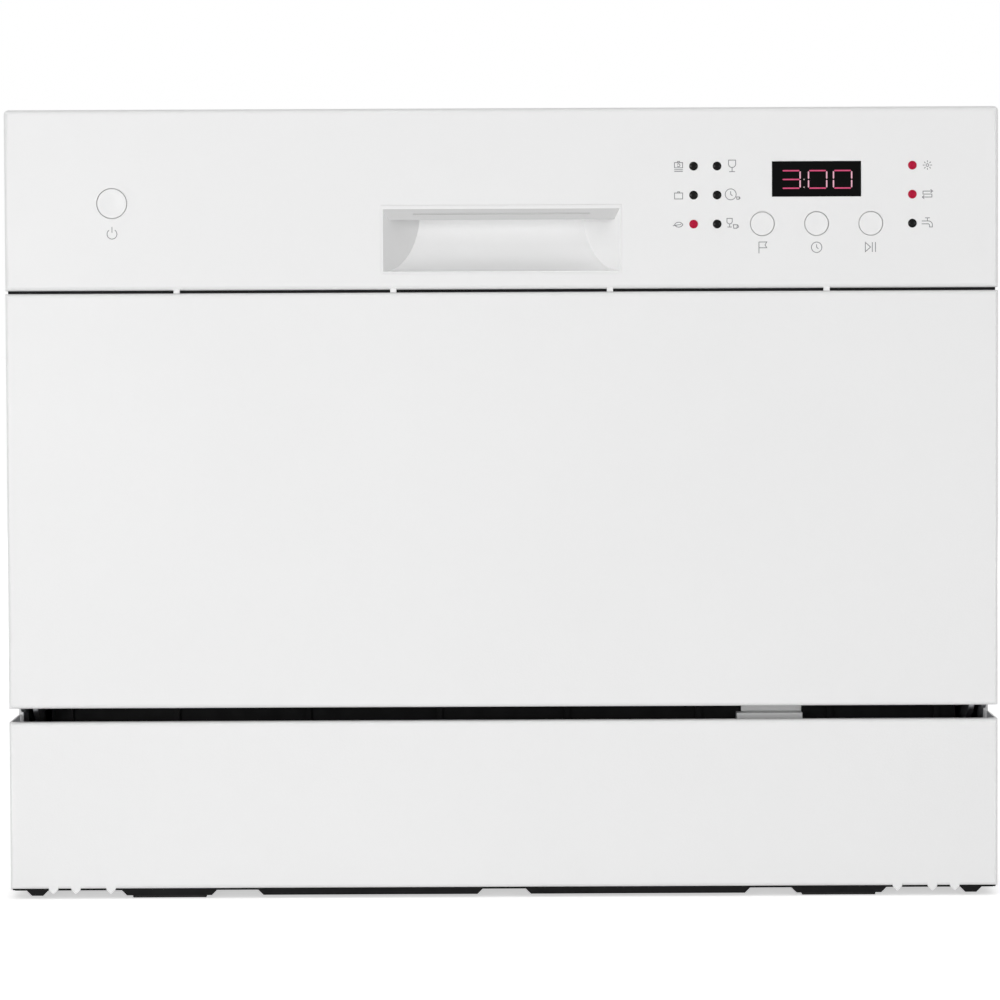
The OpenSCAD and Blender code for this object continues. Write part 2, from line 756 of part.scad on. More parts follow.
module wash_pump() {
    color([0.4, 0.41, 0.43]) {
        rod_x([pump_in, pump_in + 31], pump_y, pump_z, motor_r + 5);
        rod_x([pump_in + 31, pump_end - 8], pump_y, pump_z, motor_r);
        rod_x([pump_end - 8, pump_end], pump_y, pump_z, motor_r - 10);
        slab([pump_in + 11, pump_end - 14], [pump_y - 22, pump_y + 22], [tray_floor, pump_z - motor_r + 6]);
        slab([pump_in + 41, pump_end - 30], [pump_y - 30, pump_y + 30], [pump_z + motor_r - 14, pump_z + motor_r + 8]);
    }
}

module drain_pump() {
    y = drain_c.y + 20;
    z = drain_c.z + 4;
    color([0.3, 0.31, 0.33]) {
        rod_x([drain_c.x - 36, drain_c.x - 10], y, z, 27);
        rod_x([drain_c.x - 84, drain_c.x - 36], y, z, 20);
        slab([drain_c.x - 34, drain_c.x - 14], [y - 14, y + 14], [tray_floor, z - 20]);
        rod_z(drain_c.x - 23, y + 17, [z, z + 34], drain_r);
    }
}

module inlet_valve() {
    color([0.9, 0.9, 0.88]) difference() {
        union() {
            rod_y(inlet_c.x, [tub_rear + 8, rear_y], inlet_c.y, inlet_r);
            rod_y(inlet_c.x, [rear_face - 6, rear_face - sheet_t], inlet_c.y, inlet_r + 6);
            slab([inlet_c.x - 14, inlet_c.x + 14], [tub_rear + 8, tub_rear + 24], [inlet_c.y - 20, inlet_c.y + 34]);
            rod_z(inlet_c.x, tub_rear + 16, [inlet_c.y + 30, inlet_c.y + 48], 7);
        }
        rod_y(inlet_c.x, [rear_y - 18, rear_y + 1], inlet_c.y, inlet_r - 3.5);
    }
}

module drain_outlet() {
    color([0.3, 0.31, 0.33]) difference() {
        union() {
            rod_y(outlet_c.x, [tub_rear + 14, rear_y], outlet_c.y, drain_r);
            rod_y(outlet_c.x, [rear_face - 5, rear_face - sheet_t], outlet_c.y, drain_r + 5);
        }
        rod_y(outlet_c.x, [tub_rear + 13, rear_y + 1], outlet_c.y, drain_r - 2);
    }
}

// Flat water guide between the tub and the left side panel.
module air_break() {
    x = [-in_x + 5, -tub_x - tub_t - 5];
    y = [frame_y + 120, tub_rear - 50];
    z = air_z;
    pitch = (z[1] - z[0] - 56) / 4;
    color([0.88, 0.89, 0.9]) {
        slab(x, y, z);
        for (i = [0:4]) slab([x[0] - 2, x[0] + 1], [y[0] + 10, y[1] - 10], [z[0] + 20 + i * pitch, z[0] + 24 + i * pitch]);
        slab([x[1] - 1, -tub_x - tub_t], [20, 50], [z[0] + 80, z[0] + 110]);
        rod_z(x[0] + 9, y[1] - 20, [z[0] - 14, z[0] + 1], 6);
    }
}

// Hose from the inlet valve to the water guide, and from the drain pump to the spout.
module internal_hoses() {
    r = 7;
    b = 14;
    up_x = -in_x + 14;
    up_y = tub_rear - 70;
    a_z = inlet_c.y + 48 + b;
    a_y = tub_rear + 16;
    color([0.2, 0.2, 0.21]) {
        // Supply.
        bend([inlet_c.x - b, a_y, a_z - b], [90, 0, 0], b, r);
        rod_x([up_x + b, inlet_c.x - b], a_y, a_z, r);
        bend([up_x + b, a_y - b, a_z], [0, 0, 90], b, r);
        rod_y(up_x, [up_y + b, a_y - b], a_z, r);
        bend([up_x, up_y + b, a_z + b], [0, 90, 180], b, r);
        rod_z(up_x, up_y, [a_z + b, air_z[0] - 14], r);
        // Drain.
        p = [drain_c.x - 23, drain_c.y + 37, drain_c.z + 38];
        h = p.z + b;
        bend([p.x, p.y + b, p.z], [90, 0, -90], b, r + 1);
        rod_y(p.x, [p.y + b, tub_rear - b], h, r + 1);
        bend([p.x - b, tub_rear - b, h], [0, 0, 0], b, r + 1);
        rod_x([outlet_c.x + b, p.x - b], tub_rear, h, r + 1);
        bend([outlet_c.x + b, tub_rear, h - b], [90, 0, 180], b, r + 1);
        rod_z(outlet_c.x, tub_rear, [outlet_c.y + b, h - b], r + 1);
        bend([outlet_c.x, tub_rear + b, outlet_c.y + b], [-90, 0, -90], b, r + 1);
    }
}

module cord_gland() {
    y = [rear_face - 8, rear_face + 8];
    color([0.1, 0.1, 0.1]) difference() {
        union() {
            rod_y(gland_c.x, y, gland_c.y, 8);
            rod_y(gland_c.x, [rear_face, rear_face + 3], gland_c.y, 12);
            rod_y(gland_c.x, [rear_face - 4, rear_face - sheet_t], gland_c.y, 11);
        }
        rod_y(gland_c.x, [y[0] - 1, y[1] + 1], gland_c.y, cord_r);
    }
}

module overflow_float() {
    color([0.95, 0.95, 0.93]) difference() {
        rod_z(float_c.x, float_c.y, [tray_floor + move_clear, tray_floor + 16], float_r);
        rod_z(float_c.x, float_c.y, [tray_floor - 1, tray_floor + 20], post_r + move_clear);
    }
}

// ==== hinges =========================================================================

module hinge_bracket() {
    foot_z = tray_floor;
    difference() {
        union() {
            along_x(bracket_x) {
                translate([hinge_y, hinge_z]) circle(7);
                polygon([[hinge_y, hinge_z + 7], [hinge_y + 50, hinge_z + 7], [hinge_y + 80, hinge_z - 50.4],
                         [hinge_y + 80, foot_z], [hinge_y + 16, foot_z], [hinge_y + 16, hinge_z - 22.4],
                         [hinge_y + 6, hinge_z - 6], [hinge_y, hinge_z - 7]]);
            }
            slab([tub_x + 6, bracket_x[1]], [hinge_y + 16, hinge_y + 80], [foot_z, foot_z + 2]);
        }
        rod_x([bracket_x[0] - 1, bracket_x[1] + 1], hinge_y, hinge_z, hinge_pin_r + run_clear);
    }
}

module hinge_brackets() {
    color([0.6, 0.61, 0.63]) both_sides() hinge_bracket();
}

module hinge_arm() {
    difference() {
        along_x(arm_x) {
            link([hinge_y, hinge_z], [spring_y, spring_z], 8, 6);
            rect([hinge_y - 6, hinge_y + 10], [hinge_z, hinge_z + 140]);
        }
        rod_x([arm_x[0] - 1, arm_x[1] + 1], spring_y, spring_z, 2.4);
    }
    rod_x([arm_x[1] - 1, side_x - 4], hinge_y, hinge_z, hinge_pin_r);
    for (z = [hinge_z + 40, hinge_z + 120])
        slab([liner_x, arm_x[1]], [hinge_y + 8, hinge_y + 10], [z, z + 16]);
    slab([liner_x, liner_x + 2], [hinge_y + 9, liner_y - 6], [hinge_z + 40, hinge_z + 56]);
    slab([liner_x, liner_x + 2], [hinge_y + 9, liner_y - 6], [hinge_z + 120, hinge_z + 136]);
}

module hinge_arms() {
    color([0.6, 0.61, 0.63]) both_sides() hinge_arm();
}

// A coil spring as one swept tube: its middle line, a ring of points at each step, and the faces.
spring_turns = 17;
spring_steps = 8;
spring_sides = 5;
coil_r = 4.5;
spring_wire = 0.9;

function unit(v) = v / norm(v);

function coil_points(a, b) =
    let (u = unit(b - a), l = norm(b - a), n = spring_turns * spring_steps)
    [for (i = [0:n]) let (t = i * 360 / spring_steps)
        let (r = coil_r * min(1, i / spring_steps, (n - i) / spring_steps))
        a + u * l * i / n + [r * cos(t), 0, 0] + cross(u, [1, 0, 0]) * r * sin(t)];

function ring_points(p, i, u) =
    let (n = len(p), t = unit(p[min(i + 1, n - 1)] - p[max(i - 1, 0)]), s = unit(cross(t, u)), w = cross(t, s))
    [for (k = [0:spring_sides - 1]) let (g = k * 360 / spring_sides)
        p[i] + spring_wire * (cos(g) * s + sin(g) * w)];

module coil_spring(a, b) {
    p = coil_points(a, b);
    n = len(p);
    k = spring_sides;
    points = [for (i = [0:n - 1]) each ring_points(p, i, unit(b - a))];
    walls = [for (i = [0:n - 2], j = [0:k - 1]) each
        [[i * k + j, (i + 1) * k + (j + 1) % k, i * k + (j + 1) % k],
         [i * k + j, (i + 1) * k + j, (i + 1) * k + (j + 1) % k]]];
    first = [for (j = [1:k - 2]) [0, j, j + 1]];
    last = [for (j = [1:k - 2]) [(n - 1) * k, (n - 1) * k + j + 1, (n - 1) * k + j]];
    polyhedron(points, concat(walls, first, last));
}

module hinge_spring() {
    a = [arm_mid, spring_y, spring_z];
    b = [arm_mid, anchor_y + 4, anchor_z];
    u = unit(b - a);
    coil_spring(a + u * 2 * hook_r, b - u * 2 * hook_r);
    tilt = atan2(u.z, u.y);
    for (c = [a + u * hook_r, b - u * hook_r])
        translate(c) rotate([tilt, 0, 0]) rotate_extrude($fn = 20) translate([hook_r, 0])
            circle(spring_wire, $fn = 6);
}

module hinge_springs() {
    color([0.65, 0.66, 0.68]) both_sides() hinge_spring();
}

module cabinet_screws() {
    color([0.75, 0.76, 0.77]) for (z = panel_screw_z, s = [-1, 1])
        screw_y(s * (side_x - 8), rear_face, z, 7);
}

// ==== latch ==========================================================================

// Fixed on the frame: two lugs that hold a bar for the hook.
module latch_strike() {
    z = latch_z - 5.5;
    color([0.6, 0.61, 0.63]) {
        both_sides() slab([14, 16], [tub_y, strike_y + 8], [z - 4, z + 8]);
        both_sides() slab([14, 26], [tub_y, tub_y + 1.5], [z - 4, z + 8]);
        rod_x([-15, 15], strike_y, z, 2);
    }
}

module latch_housing() {
    x = 11;
    color([0.15, 0.15, 0.16]) difference() {
        union() {
            both_sides() slab([x - 3, x], [latch_y - 8, liner_y - 1], [latch_z - 8, body_h - console_t]);
            slab([-x, x], [latch_y - 10, latch_y - 7], [latch_z - 12, body_h - console_t]);
            slab([-x - 12, x + 12], [latch_y - 10, latch_y - 7], [latch_z - 12, latch_z - 2]);
            both_sides() slab([x, x + 12], [latch_y - 10, latch_y - 4], [latch_z - 12, latch_z - 9]);
        }
        rod_x([-x - 1, x + 1], latch_y, latch_z, 2 + run_clear);
    }
}

module latch_hook() {
    w = 5.5;
    tip = strike_y + 10;
    color([0.5, 0.51, 0.53]) {
        slab([-w, w], [latch_y - 3, tip], [latch_z - 2.3, latch_z + 2.2]);
        slab([-w, w], [strike_y + 4, tip], [latch_z - 6.5, latch_z]);
        rod_x([-10.5, 10.5], latch_y, latch_z, 2);
        rod_x([-w, w], latch_y, latch_z, 3.6);
    }
}

// ==== door ===========================================================================

module door_panel() {
    color([0.93, 0.93, 0.93]) difference() {
        pan([-side_x, side_x], [front_y, door_rear], [door_z, door_top], sheet_t, edge_r);
        // The upper and lower returns stop short, to clear the hinges and the console.
        slab([-in_x, in_x], [front_y + 15, door_rear + 1], [door_z - 1, door_top + 1]);
        both_sides() slab([liner_x, in_x], [front_y + edge_r, door_rear + 1], [door_z - 1, door_z + 20]);
    }
}

module door_liner() {
    x = liner_x;
    y = [liner_y - liner_depth, liner_y];
    press_x = x - 45;
    press_z = [liner_z + 40, liner_top - 40];
    color([0.8, 0.81, 0.82]) difference() {
        union() {
            difference() {
                slab([-x, x], y, [liner_z, liner_top]);
                slab([-x + tub_t, x - tub_t], [y[0] - 1, y[1] - tub_t], [liner_z + tub_t, liner_top - tub_t]);
            }
            slab([-press_x - tub_t, press_x + tub_t], [y[1] - liner_press - tub_t, y[1]],
                 [press_z[0] - tub_t, press_z[1] + tub_t]);
        }
        slab([-press_x, press_x], [y[1] - liner_press, y[1] + 1], press_z);
        slab([dispenser_x[0] + 4, dispenser_x[1] - 4], [y[0] - 1, y[1] + 1], [dispenser_z[0] + 4, dispenser_z[1] - 4]);
        slab([-12, 12], [y[0] - 1, y[1] + 1], [latch_z - 8.5, liner_top + 1]);
        door_screw_holes();
    }
}

// Where the screws go that hold the liner: a row above the gasket and a row below it.
door_screw_at = [for (s = [-1, 1], i = [1:3]) each
    [[s * i * rack_hw / 3.4, liner_top - 7], [s * i * rack_hw / 3.4, liner_z + 4.2]]];

module door_screw_holes() {
    for (c = door_screw_at) rod_y(c.x, [liner_y - 3, liner_y + 1], c.y, screw_r + 0.1);
}

module door_screws() {
    color([0.75, 0.76, 0.77]) for (c = door_screw_at) screw_y(c.x, liner_y, c.y, 9, 1.4);
}

module door_insulation() {
    y = front_y + sheet_t;
    color([0.2, 0.2, 0.2]) slab([-liner_x + 12, liner_x - 12], [y, y + 5], [door_z + 14, door_top - 12]);
}

module door_seal_strip() {
    color([0.25, 0.25, 0.26]) {
        slab([-liner_x + 4, liner_x - 4], [liner_y - 18, liner_y - 3], [liner_z - 2, liner_z]);
        slab([-liner_x + 4, liner_x - 4], [liner_y - 12, liner_y - 9], [hinge_z - 1.5, liner_z - 1]);
    }
}

// ==== console ========================================================================

module console() {
    z = [console_z, body_h];
    wall = console_t;
    color([0.93, 0.93, 0.93]) difference() {
        union() {
            intersection() {
                pan([-side_x, side_x], [front_y, door_rear], z, wall, edge_r + 0.5);
                along_y([front_y - 1, door_rear + 1]) round_rect([-side_x, side_x], [z[0] - 20, z[1]], edge_r + 0.5);
            }
            // Spacers that stand on the door panel's top.
            for (x = [-180, -60, 60, 180])
                slab([x - 1.7, x + 1.7], [front_y + 1, front_y + 12], [door_top, console_z + 1]);
            // Bosses behind the control board and the power switch.
            for (x = board_x, h = board_z)
                rod_y(x + (x < display_x ? 5 : -5), [front_y + 1, board_y], h + (h > button_z ? -5 : 5), 3);
            for (s = [-1, 1]) rod_y(-power_x + s * 15, [front_y + 1, board_y], power_z, 3);
        }
        grip_hole();
        // Room for the liner behind the lower wall.
        slab([-liner_x - move_clear, liner_x + move_clear],
             [liner_y - liner_depth - move_clear, door_rear + 1], [console_z - 1, console_z + wall + 1]);
        slab([display_x - display_w / 2 - 0.2, display_x + display_w / 2 + 0.2], [front_y - 1, front_y + wall + 1],
             [body_h - display_drop - display_h / 2 - 0.2, body_h - display_drop + display_h / 2 + 0.2]);
        for (x = led_x, i = [0:2])
            rod_y(x, [front_y - 1, front_y + wall + 1], body_h - led_drop - i * led_pitch, led_r + 0.05);
        for (x = button_x) rod_y(x, [front_y - 1, front_y + wall + 1], button_z, button_r + move_clear);
        rod_y(-power_x, [front_y - 1, front_y + wall + 1], power_z, power_r + move_clear);
    }
}

// The hole in the console's face for the recess.
module grip_hole() {
    w = grip_w / 2 + grip_rim + 0.05;
    slab([-w, w], [front_y - 1, front_y + console_t + 1],
         [grip_z - grip_rim - 0.05, grip_top + grip_rim + 0.05]);
}

// The recess from above: its ends slant inwards.
module grip_plan(grow) {
    w = grip_w / 2 + grow;
    y = [front_y - 1, front_y, front_y + grip_h + grow];
    polygon([[-w, y[0]], [-w, y[1]], [grip_slant - w, y[2]], [w - grip_slant, y[2]], [w, y[1]], [w, y[0]]]);
}

// The hollow that the hand goes in: a quarter round, with slanted ends.
module grip_hollow(grow) {
    d = grip_h + grow;
    intersection() {
        along_x([-grip_w, grip_w]) intersection() {
            translate([front_y, grip_top]) circle(d);
            rect([front_y - 1, front_y + d + 1], [grip_top - d - 1, grip_top]);
        }
        translate([0, 0, grip_z - d]) linear_extrude(3 * d) grip_plan(grow);
    }
}

// Slanted lip that hides the lever: it faces forwards and down.
module grip_lip_bar() {
    y = [front_y + grip_lip, front_y + grip_lip + 2];
    z = grip_top - grip_lip;
    intersection() {
        along_x([-grip_w, grip_w]) polygon([[front_y, grip_top + 1], [front_y, grip_top], [y[0], z], [y[1], z],
                                            [y[1], grip_top + 1]]);
        translate([0, 0, z]) linear_extrude(2 * grip_lip) grip_plan(grip_wall / 2);
    }
}

module handle_recess() {
    t = grip_wall;
    w = grip_w / 2 + grip_rim;
    color([0.93, 0.93, 0.93]) difference() {
        union() {
            intersection() {
                union() {
                    grip_hollow(t);
                    translate([0, 0, grip_top]) linear_extrude(t) grip_plan(t);
                }
                slab([-side_x, side_x], [front_y + console_t, 0], [0, body_h]);
            }
            slab([-w, w], [front_y, front_y + console_t], [grip_z - grip_rim, grip_top + grip_rim]);
            grip_lip_bar();
            // Ears that carry the lever's pins.
            both_sides() slab([lever_w / 2 + 2, lever_w / 2 + 5], [lever_y - 5, lever_y + 5], [grip_top + 1, lever_z + 4]);
        }
        difference() {
            grip_hollow(0);
            grip_lip_bar();
        }
        slab([-lever_w / 2 - 1, lever_w / 2 + 1], [lever_y - 4.7, lever_y + 5], [grip_top - grip_lip, grip_top + t + 1]);
        // Seam along the lip.
        slab([-lever_w / 2, lever_w / 2], [front_y - 1, front_y + 0.56 * grip_lip],
             [grip_top - 0.5 * grip_lip, grip_top - 0.38 * grip_lip]);
        rod_x([-lever_w / 2 - 6, lever_w / 2 + 6], lever_y, lever_z, 1.6 + run_clear);
    }
}

module handle_lever() {
    w = lever_w / 2;
    color([0.8, 0.8, 0.81]) {
        slab([-w, w], [lever_y - lever_t / 2, lever_y + lever_t / 2], [grip_top - 4, lever_z]);
        rod_x([-w, w], lever_y, lever_z, 3);
        rod_x([-w - 4.5, w + 4.5], lever_y, lever_z, 1.6);
        slab([-6, 6], [lever_y, lever_y + 12], [lever_z, lever_z + 3]);
    }
}

module display_window() {
    x = [display_x - display_w / 2, display_x + display_w / 2];
    z = [body_h - display_drop - display_h / 2, body_h - display_drop + display_h / 2];
    color([0.02, 0.02, 0.02]) {
        slab(x, [front_y, front_y + console_t], z);
        slab([x[0] - 2, x[1] + 2], [front_y + console_t, front_y + console_t + 1.2], [z[0] - 1.2, z[1] + 2]);
    }
}

module led_lenses() {
    color([0.05, 0.05, 0.05]) for (x = led_x, i = [0:2]) {
        h = body_h - led_drop - i * led_pitch;
        rod_y(x, [front_y, front_y + console_t], h, led_r);
        rod_y(x, [front_y + console_t, front_y + console_t + 1.4], h, led_r + 1);
    }
}

module control_board() {
    y = [board_y, board_y + board_t];
    top = board_z[1];
    color([0.1, 0.3, 0.15]) {
        slab(board_x, y, board_z);
        // Display module, indicators and switches in front.
        slab([display_x - display_w / 2 + 1, display_x + display_w / 2 - 1], [front_y + console_t + 1.2, y[0] + 0.5],
             [body_h - display_drop - display_h / 2 + 1, body_h - display_drop + display_h / 2 - 1]);
        for (x = led_x, i = [0:2])
            rod_y(x, [front_y + console_t + 1.4, y[0] + 0.5], body_h - led_drop - i * led_pitch, 2);
        for (x = button_x) tact_switch(x, button_z);
        // Relay, transformer, chip and plug sockets behind.
        slab([board_x[0] + 12, board_x[0] + 44], [y[1] - 0.5, y[1] + 18], [top - 40, top - 12]);
        slab([board_x[0] + 54, board_x[0] + 74], [y[1] - 0.5, y[1] + 14], [top - 30, top - 12]);
        slab([board_x[0] + 84, board_x[0] + 100], [y[1] - 0.5, y[1] + 2], [top - 36, top - 20]);
        for (i = [0:2]) slab([board_x[1] - 50 + i * 15, board_x[1] - 40 + i * 15], [y[1] - 0.5, y[1] + 8], [top - 14, top - 4]);
        // Power switch's own board.
        slab([-power_x - 20, -power_x + 20], y, [power_z - 12, power_z + 12]);
        tact_switch(-power_x, power_z);
        slab([-power_x - 16, -power_x - 6], [y[1] - 0.5, y[1] + 8], [power_z - 5, power_z + 5]);
    }
}

module tact_switch(x, z) {
    slab([x - 3, x + 3], [board_y - 2.5, board_y + 0.5], [z - 3, z + 3]);
    rod_y(x, [board_y - 3.5, board_y - 2], z, 1.7);
}

// A push button: a cap, a flange behind the console's wall and a stem down to its switch.
module button(x, z, r) {
    wall = front_y + console_t;
    color([0.94, 0.94, 0.94]) {
        rod_y(x, [front_y, wall + 2], z, r);
        rod_y(x, [wall + move_clear, wall + move_clear + 1.2], z, r + 1.3);
        rod_y(x, [wall + 1, board_y - 3.5 - button_travel - move_clear], z, 2.2);
    }
}

module button_power() {
    button(-power_x, power_z, power_r);
}

module button_program() {
    button(button_x[0], button_z, button_r);
}

module button_delay() {
    button(button_x[1], button_z, button_r);
}

module button_start() {
    button(button_x[2], button_z, button_r);
}

// ==== detergent dispenser ============================================================

module dispenser_body() {
    face = liner_y + 2.5;
    guide_x = cup_x[1] + 4 + move_clear;
    guide_z = [dispenser_z[0] + 2, cup_z[1] + 4];
    color([0.6, 0.62, 0.65]) difference() {
        union() {
            slab([dispenser_x[0] + 4, dispenser_x[1] - 4], [liner_y - 24, liner_y],
                 [dispenser_z[0] + 4, dispenser_z[1] - 4]);
            along_y([liner_y - liner_press, face]) round_rect(dispenser_x, dispenser_z, 8);
            // Guides for the sliding lid.
            both_sides() slab([guide_x, guide_x + 2.5], [face - 1, lid_y + lid_t + 1.2], guide_z);
            both_sides() slab([guide_x - 2.4, guide_x + 2.5], [lid_y + lid_t + move_clear, lid_y + lid_t + 1.4], guide_z);
        }
        slab(cup_x, [liner_y - 20, face + 1], cup_z);
        rod_y(cap_c.x, [liner_y - 14, face + 1], cap_c.y, cap_r - 4);
    }
}

module dispenser_lid() {
    color([0.65, 0.67, 0.7]) {
        slab([cup_x[0] - 4, cup_x[1] + 4], [lid_y, lid_y + lid_t], [cup_z[0] - 4, cup_z[1] + 4]);
        for (i = [0:3]) slab([-14, 14], [lid_y + lid_t - 0.5, lid_y + lid_t + 1.2], [cup_z[1] - 12 + i * 3, cup_z[1] - 10.8 + i * 3]);
    }
}

module rinse_aid_cap() {
    face = liner_y + 2.5 + move_clear;
    color([0.25, 0.4, 0.6]) {
        rod_y(cap_c.x, [face, face + 3], cap_c.y, cap_r);
        rod_y(cap_c.x, [liner_y - 8, face + 1], cap_c.y, cap_r - 4 - move_clear);
        slab([cap_c.x - 12, cap_c.x + 12], [face + 2, face + 6], [cap_c.y - 2, cap_c.y + 2]);
    }
}

// ==== rack ===========================================================================

lean_top = rack_front - rack_lean;

// A wire through points, with a small weld bead on each bend.
module bent_wire(p, r) {
    n = len(p);
    for (i = [0:n - 2]) bar(p[i], p[i + 1], r);
    for (i = [1:n - 2]) ball(p[i], r + bead);
}

// A wire across the rack: down one side, along the bottom and up the other side.
module cross_wire(y) {
    bent_wire([[-rack_hw, y, rim_z], [-rack_hw, y, rack_z], [rack_hw, y, rack_z], [rack_hw, y, rim_z]], wire_r);
}

// A wire from front to back: down the leaning front, along the bottom and up the back.
module long_wire(x) {
    bent_wire([[x, lean_top, rim_z], [x, rack_front, long_z], [x, rack_rear, long_z], [x, rack_rear, rim_z]],
              wire_r);
}

// An upright wire with a tapered tip.
module tine(x, y, z) {
    rod_z(x, y, [z, z + tine_l], tine_r);
    translate([x, y, z + tine_l]) cylinder(r1 = tine_r, r2 = tine_r / 2, h = 1.2);
}

module rim(r, corner = 16) {
    x = rack_hw;
    y = [lean_top, rack_rear];
    for (s = [-1, 1]) rod_y(s * x, [y[0] + corner, y[1] - corner], rim_z, r);
    for (h = y) rod_x([-x + corner, x - corner], h, rim_z, r);
    for (c = [[x - corner, y[1] - corner, 0], [-x + corner, y[1] - corner, 90],
              [-x + corner, y[0] + corner, 180], [x - corner, y[0] + corner, 270]])
        bend([c[0], c[1], rim_z], [0, 0, c[2]], corner, r);
}

module wheel_axle(y) {
    both_sides() {
        rod_x([rack_hw, wheel_x + wheel_w / 2 + 1.5], y, axle_z, axle_r);
        slab([rack_hw - 2, rack_hw + 3], [y - 7, y + 7], [rack_z - wire_r, axle_z + 7]);
    }
}

module rack_frame() {
    color([0.82, 0.83, 0.85]) difference() {
        union() {
            for (y = cross_y) cross_wire(y);
            for (x = long_x) long_wire(x);
            rim(rim_d / 2);
            for (x = tine_x) tine(x, cross_y[4], rack_z);
            for (x = clip_x) rod_x([x - clip_w / 2, x + clip_w / 2], fold_y, fold_z, clip_r);
            for (y = shelf_clip_y) rod_y(shelf_x, [y - clip_w / 2, y + clip_w / 2], shelf_z, clip_r);
            for (y = [front_wheel_y, rear_wheel_y]) wheel_axle(y);
        }
        for (x = clip_x) rod_x([x - 4, x + 4], fold_y, fold_z, wire_r + run_clear);
        for (y = shelf_clip_y) rod_y(shelf_x, [y - 4, y + 4], shelf_z, wire_r + run_clear);
    }
}

// The row of tines that folds down.
module plate_tines() {
    color([0.82, 0.83, 0.85]) {
        rod_x([tine_x[0] - 6, tine_x[7] + 6], fold_y, fold_z, wire_r);
        for (x = tine_x) tine(x, fold_y, fold_z);
    }
}

module cup_shelf() {
    pitch = (cross_y[1] - cross_y[0]) / 2;
    y = [cross_y[0] + 8, cross_y[4] - 8];
    x = [shelf_x, shelf_x + shelf_w];
    color([0.82, 0.83, 0.85]) {
        rod_y(x[0], y, shelf_z, wire_r);
        rod_y(x[1], y, shelf_z, wire_r);
        for (i = [0:7]) rod_x(x, cross_y[0] + (i + 0.5) * pitch, shelf_z, tine_r);
    }
}

module cutlery_basket() {
    x = [basket_x, basket_x + basket_w];
    y = [basket_y, basket_y + basket_l];
    z = [basket_z, basket_z + basket_h];
    t = basket_t;
    cells = 4;
    color([0.3, 0.32, 0.35]) difference() {
        union() {
            difference() {
                slab(x, y, z);
                slab([x[0] + t, x[1] - t], [y[0] + t, y[1] - t], [z[0] + t, z[1] + 1]);
            }
            for (i = [1:cells - 1]) {
                h = y[0] + i * basket_l / cells;
                slab(x, [h - t / 2, h + t / 2], [z[0], z[1] - 8]);
            }
            // Handle.
            for (h = [y[0], y[1] - 10]) slab([(x[0] + x[1]) / 2 - 1.5, (x[0] + x[1]) / 2 + 1.5], [h, h + 10], [z[1] - 6, z[1] + 20]);
            slab([(x[0] + x[1]) / 2 - 4, (x[0] + x[1]) / 2 + 4], y, [z[1] + 14, z[1] + 20]);
        }
        // Windows in the walls and the floor.
        for (i = [0:cells - 1], k = [0:2]) {
            h = y[0] + (i + 0.5) * basket_l / cells;
            slab([x[0] - 1, x[1] + 1], [h - 11, h + 11], [z[0] + 10 + k * 28, z[0] + 30 + k * 28]);
        }
        for (k = [0:2]) slab([(x[0] + x[1]) / 2 - 28, (x[0] + x[1]) / 2 + 28], [y[0] - 1, y[0] + t + 1], [z[0] + 10 + k * 28, z[0] + 30 + k * 28]);
        for (i = [0:cells - 1], s = [-1, 1]) {
            h = y[0] + (i + 0.5) * basket_l / cells;
            slab([(x[0] + x[1]) / 2 + s * 17 - 11, (x[0] + x[1]) / 2 + s * 17 + 11], [h - 11, h + 11], [z[0] - 1, z[0] + t + 1]);
        }
    }
}

module rack_wheel(y) {
    x = [wheel_x - wheel_w / 2, wheel_x + wheel_w / 2];
    both_sides() difference() {
        union() {
            rod_x([x[0] + 1.5, x[1] - 1.5], y, axle_z, wheel_r - 2.5);
            difference() {
                rod_x(x, y, axle_z, wheel_r);
                rod_x([x[0] - 1, x[1] + 1], y, axle_z, wheel_r - 3);
            }
            rod_x(x, y, axle_z, axle_r + 2.2);
        }
        rod_x([x[0] - 1, x[1] + 1], y, axle_z, axle_r + run_clear);
    }
}

module wheels_front() {
    color([0.55, 0.58, 0.62]) rack_wheel(front_wheel_y);
}

module wheels_rear() {
    color([0.55, 0.58, 0.62]) rack_wheel(rear_wheel_y);
}

// ==== nodes ==========================================================================

base_tray();
rubber_feet();
kick_plate();
frame_clip();
side_panel_left();
side_panel_right();
worktop();
rear_panel();
front_frame();
door_gasket();
tub_wrap();
tub_back();
tub_floor();
rack_rails();
sump();
filter_plate();
filter_core();
spray_arm();
heating_element();
softener_tank();
salt_cap();
wash_pump();
drain_pump();
inlet_valve();
drain_outlet();
air_break();
internal_hoses();
cord_gland();
overflow_float();
latch_strike();
hinge_brackets();
hinge_springs();
cabinet_screws();
door_panel();
door_liner();
door_insulation();
hinge_arms();
door_seal_strip();
door_screws();
console();
handle_recess();
handle_lever();
latch_housing();
latch_hook();
display_window();
led_lenses();
control_board();
button_power();
button_program();
button_delay();
button_start();
dispenser_body();
dispenser_lid();
rinse_aid_cap();
rack_frame();
plate_tines();
cup_shelf();
cutlery_basket();
wheels_front();
wheels_rear();
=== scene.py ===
import json
import math

import bmesh
import bpy
import numpy as np
from mathutils import Matrix, Vector


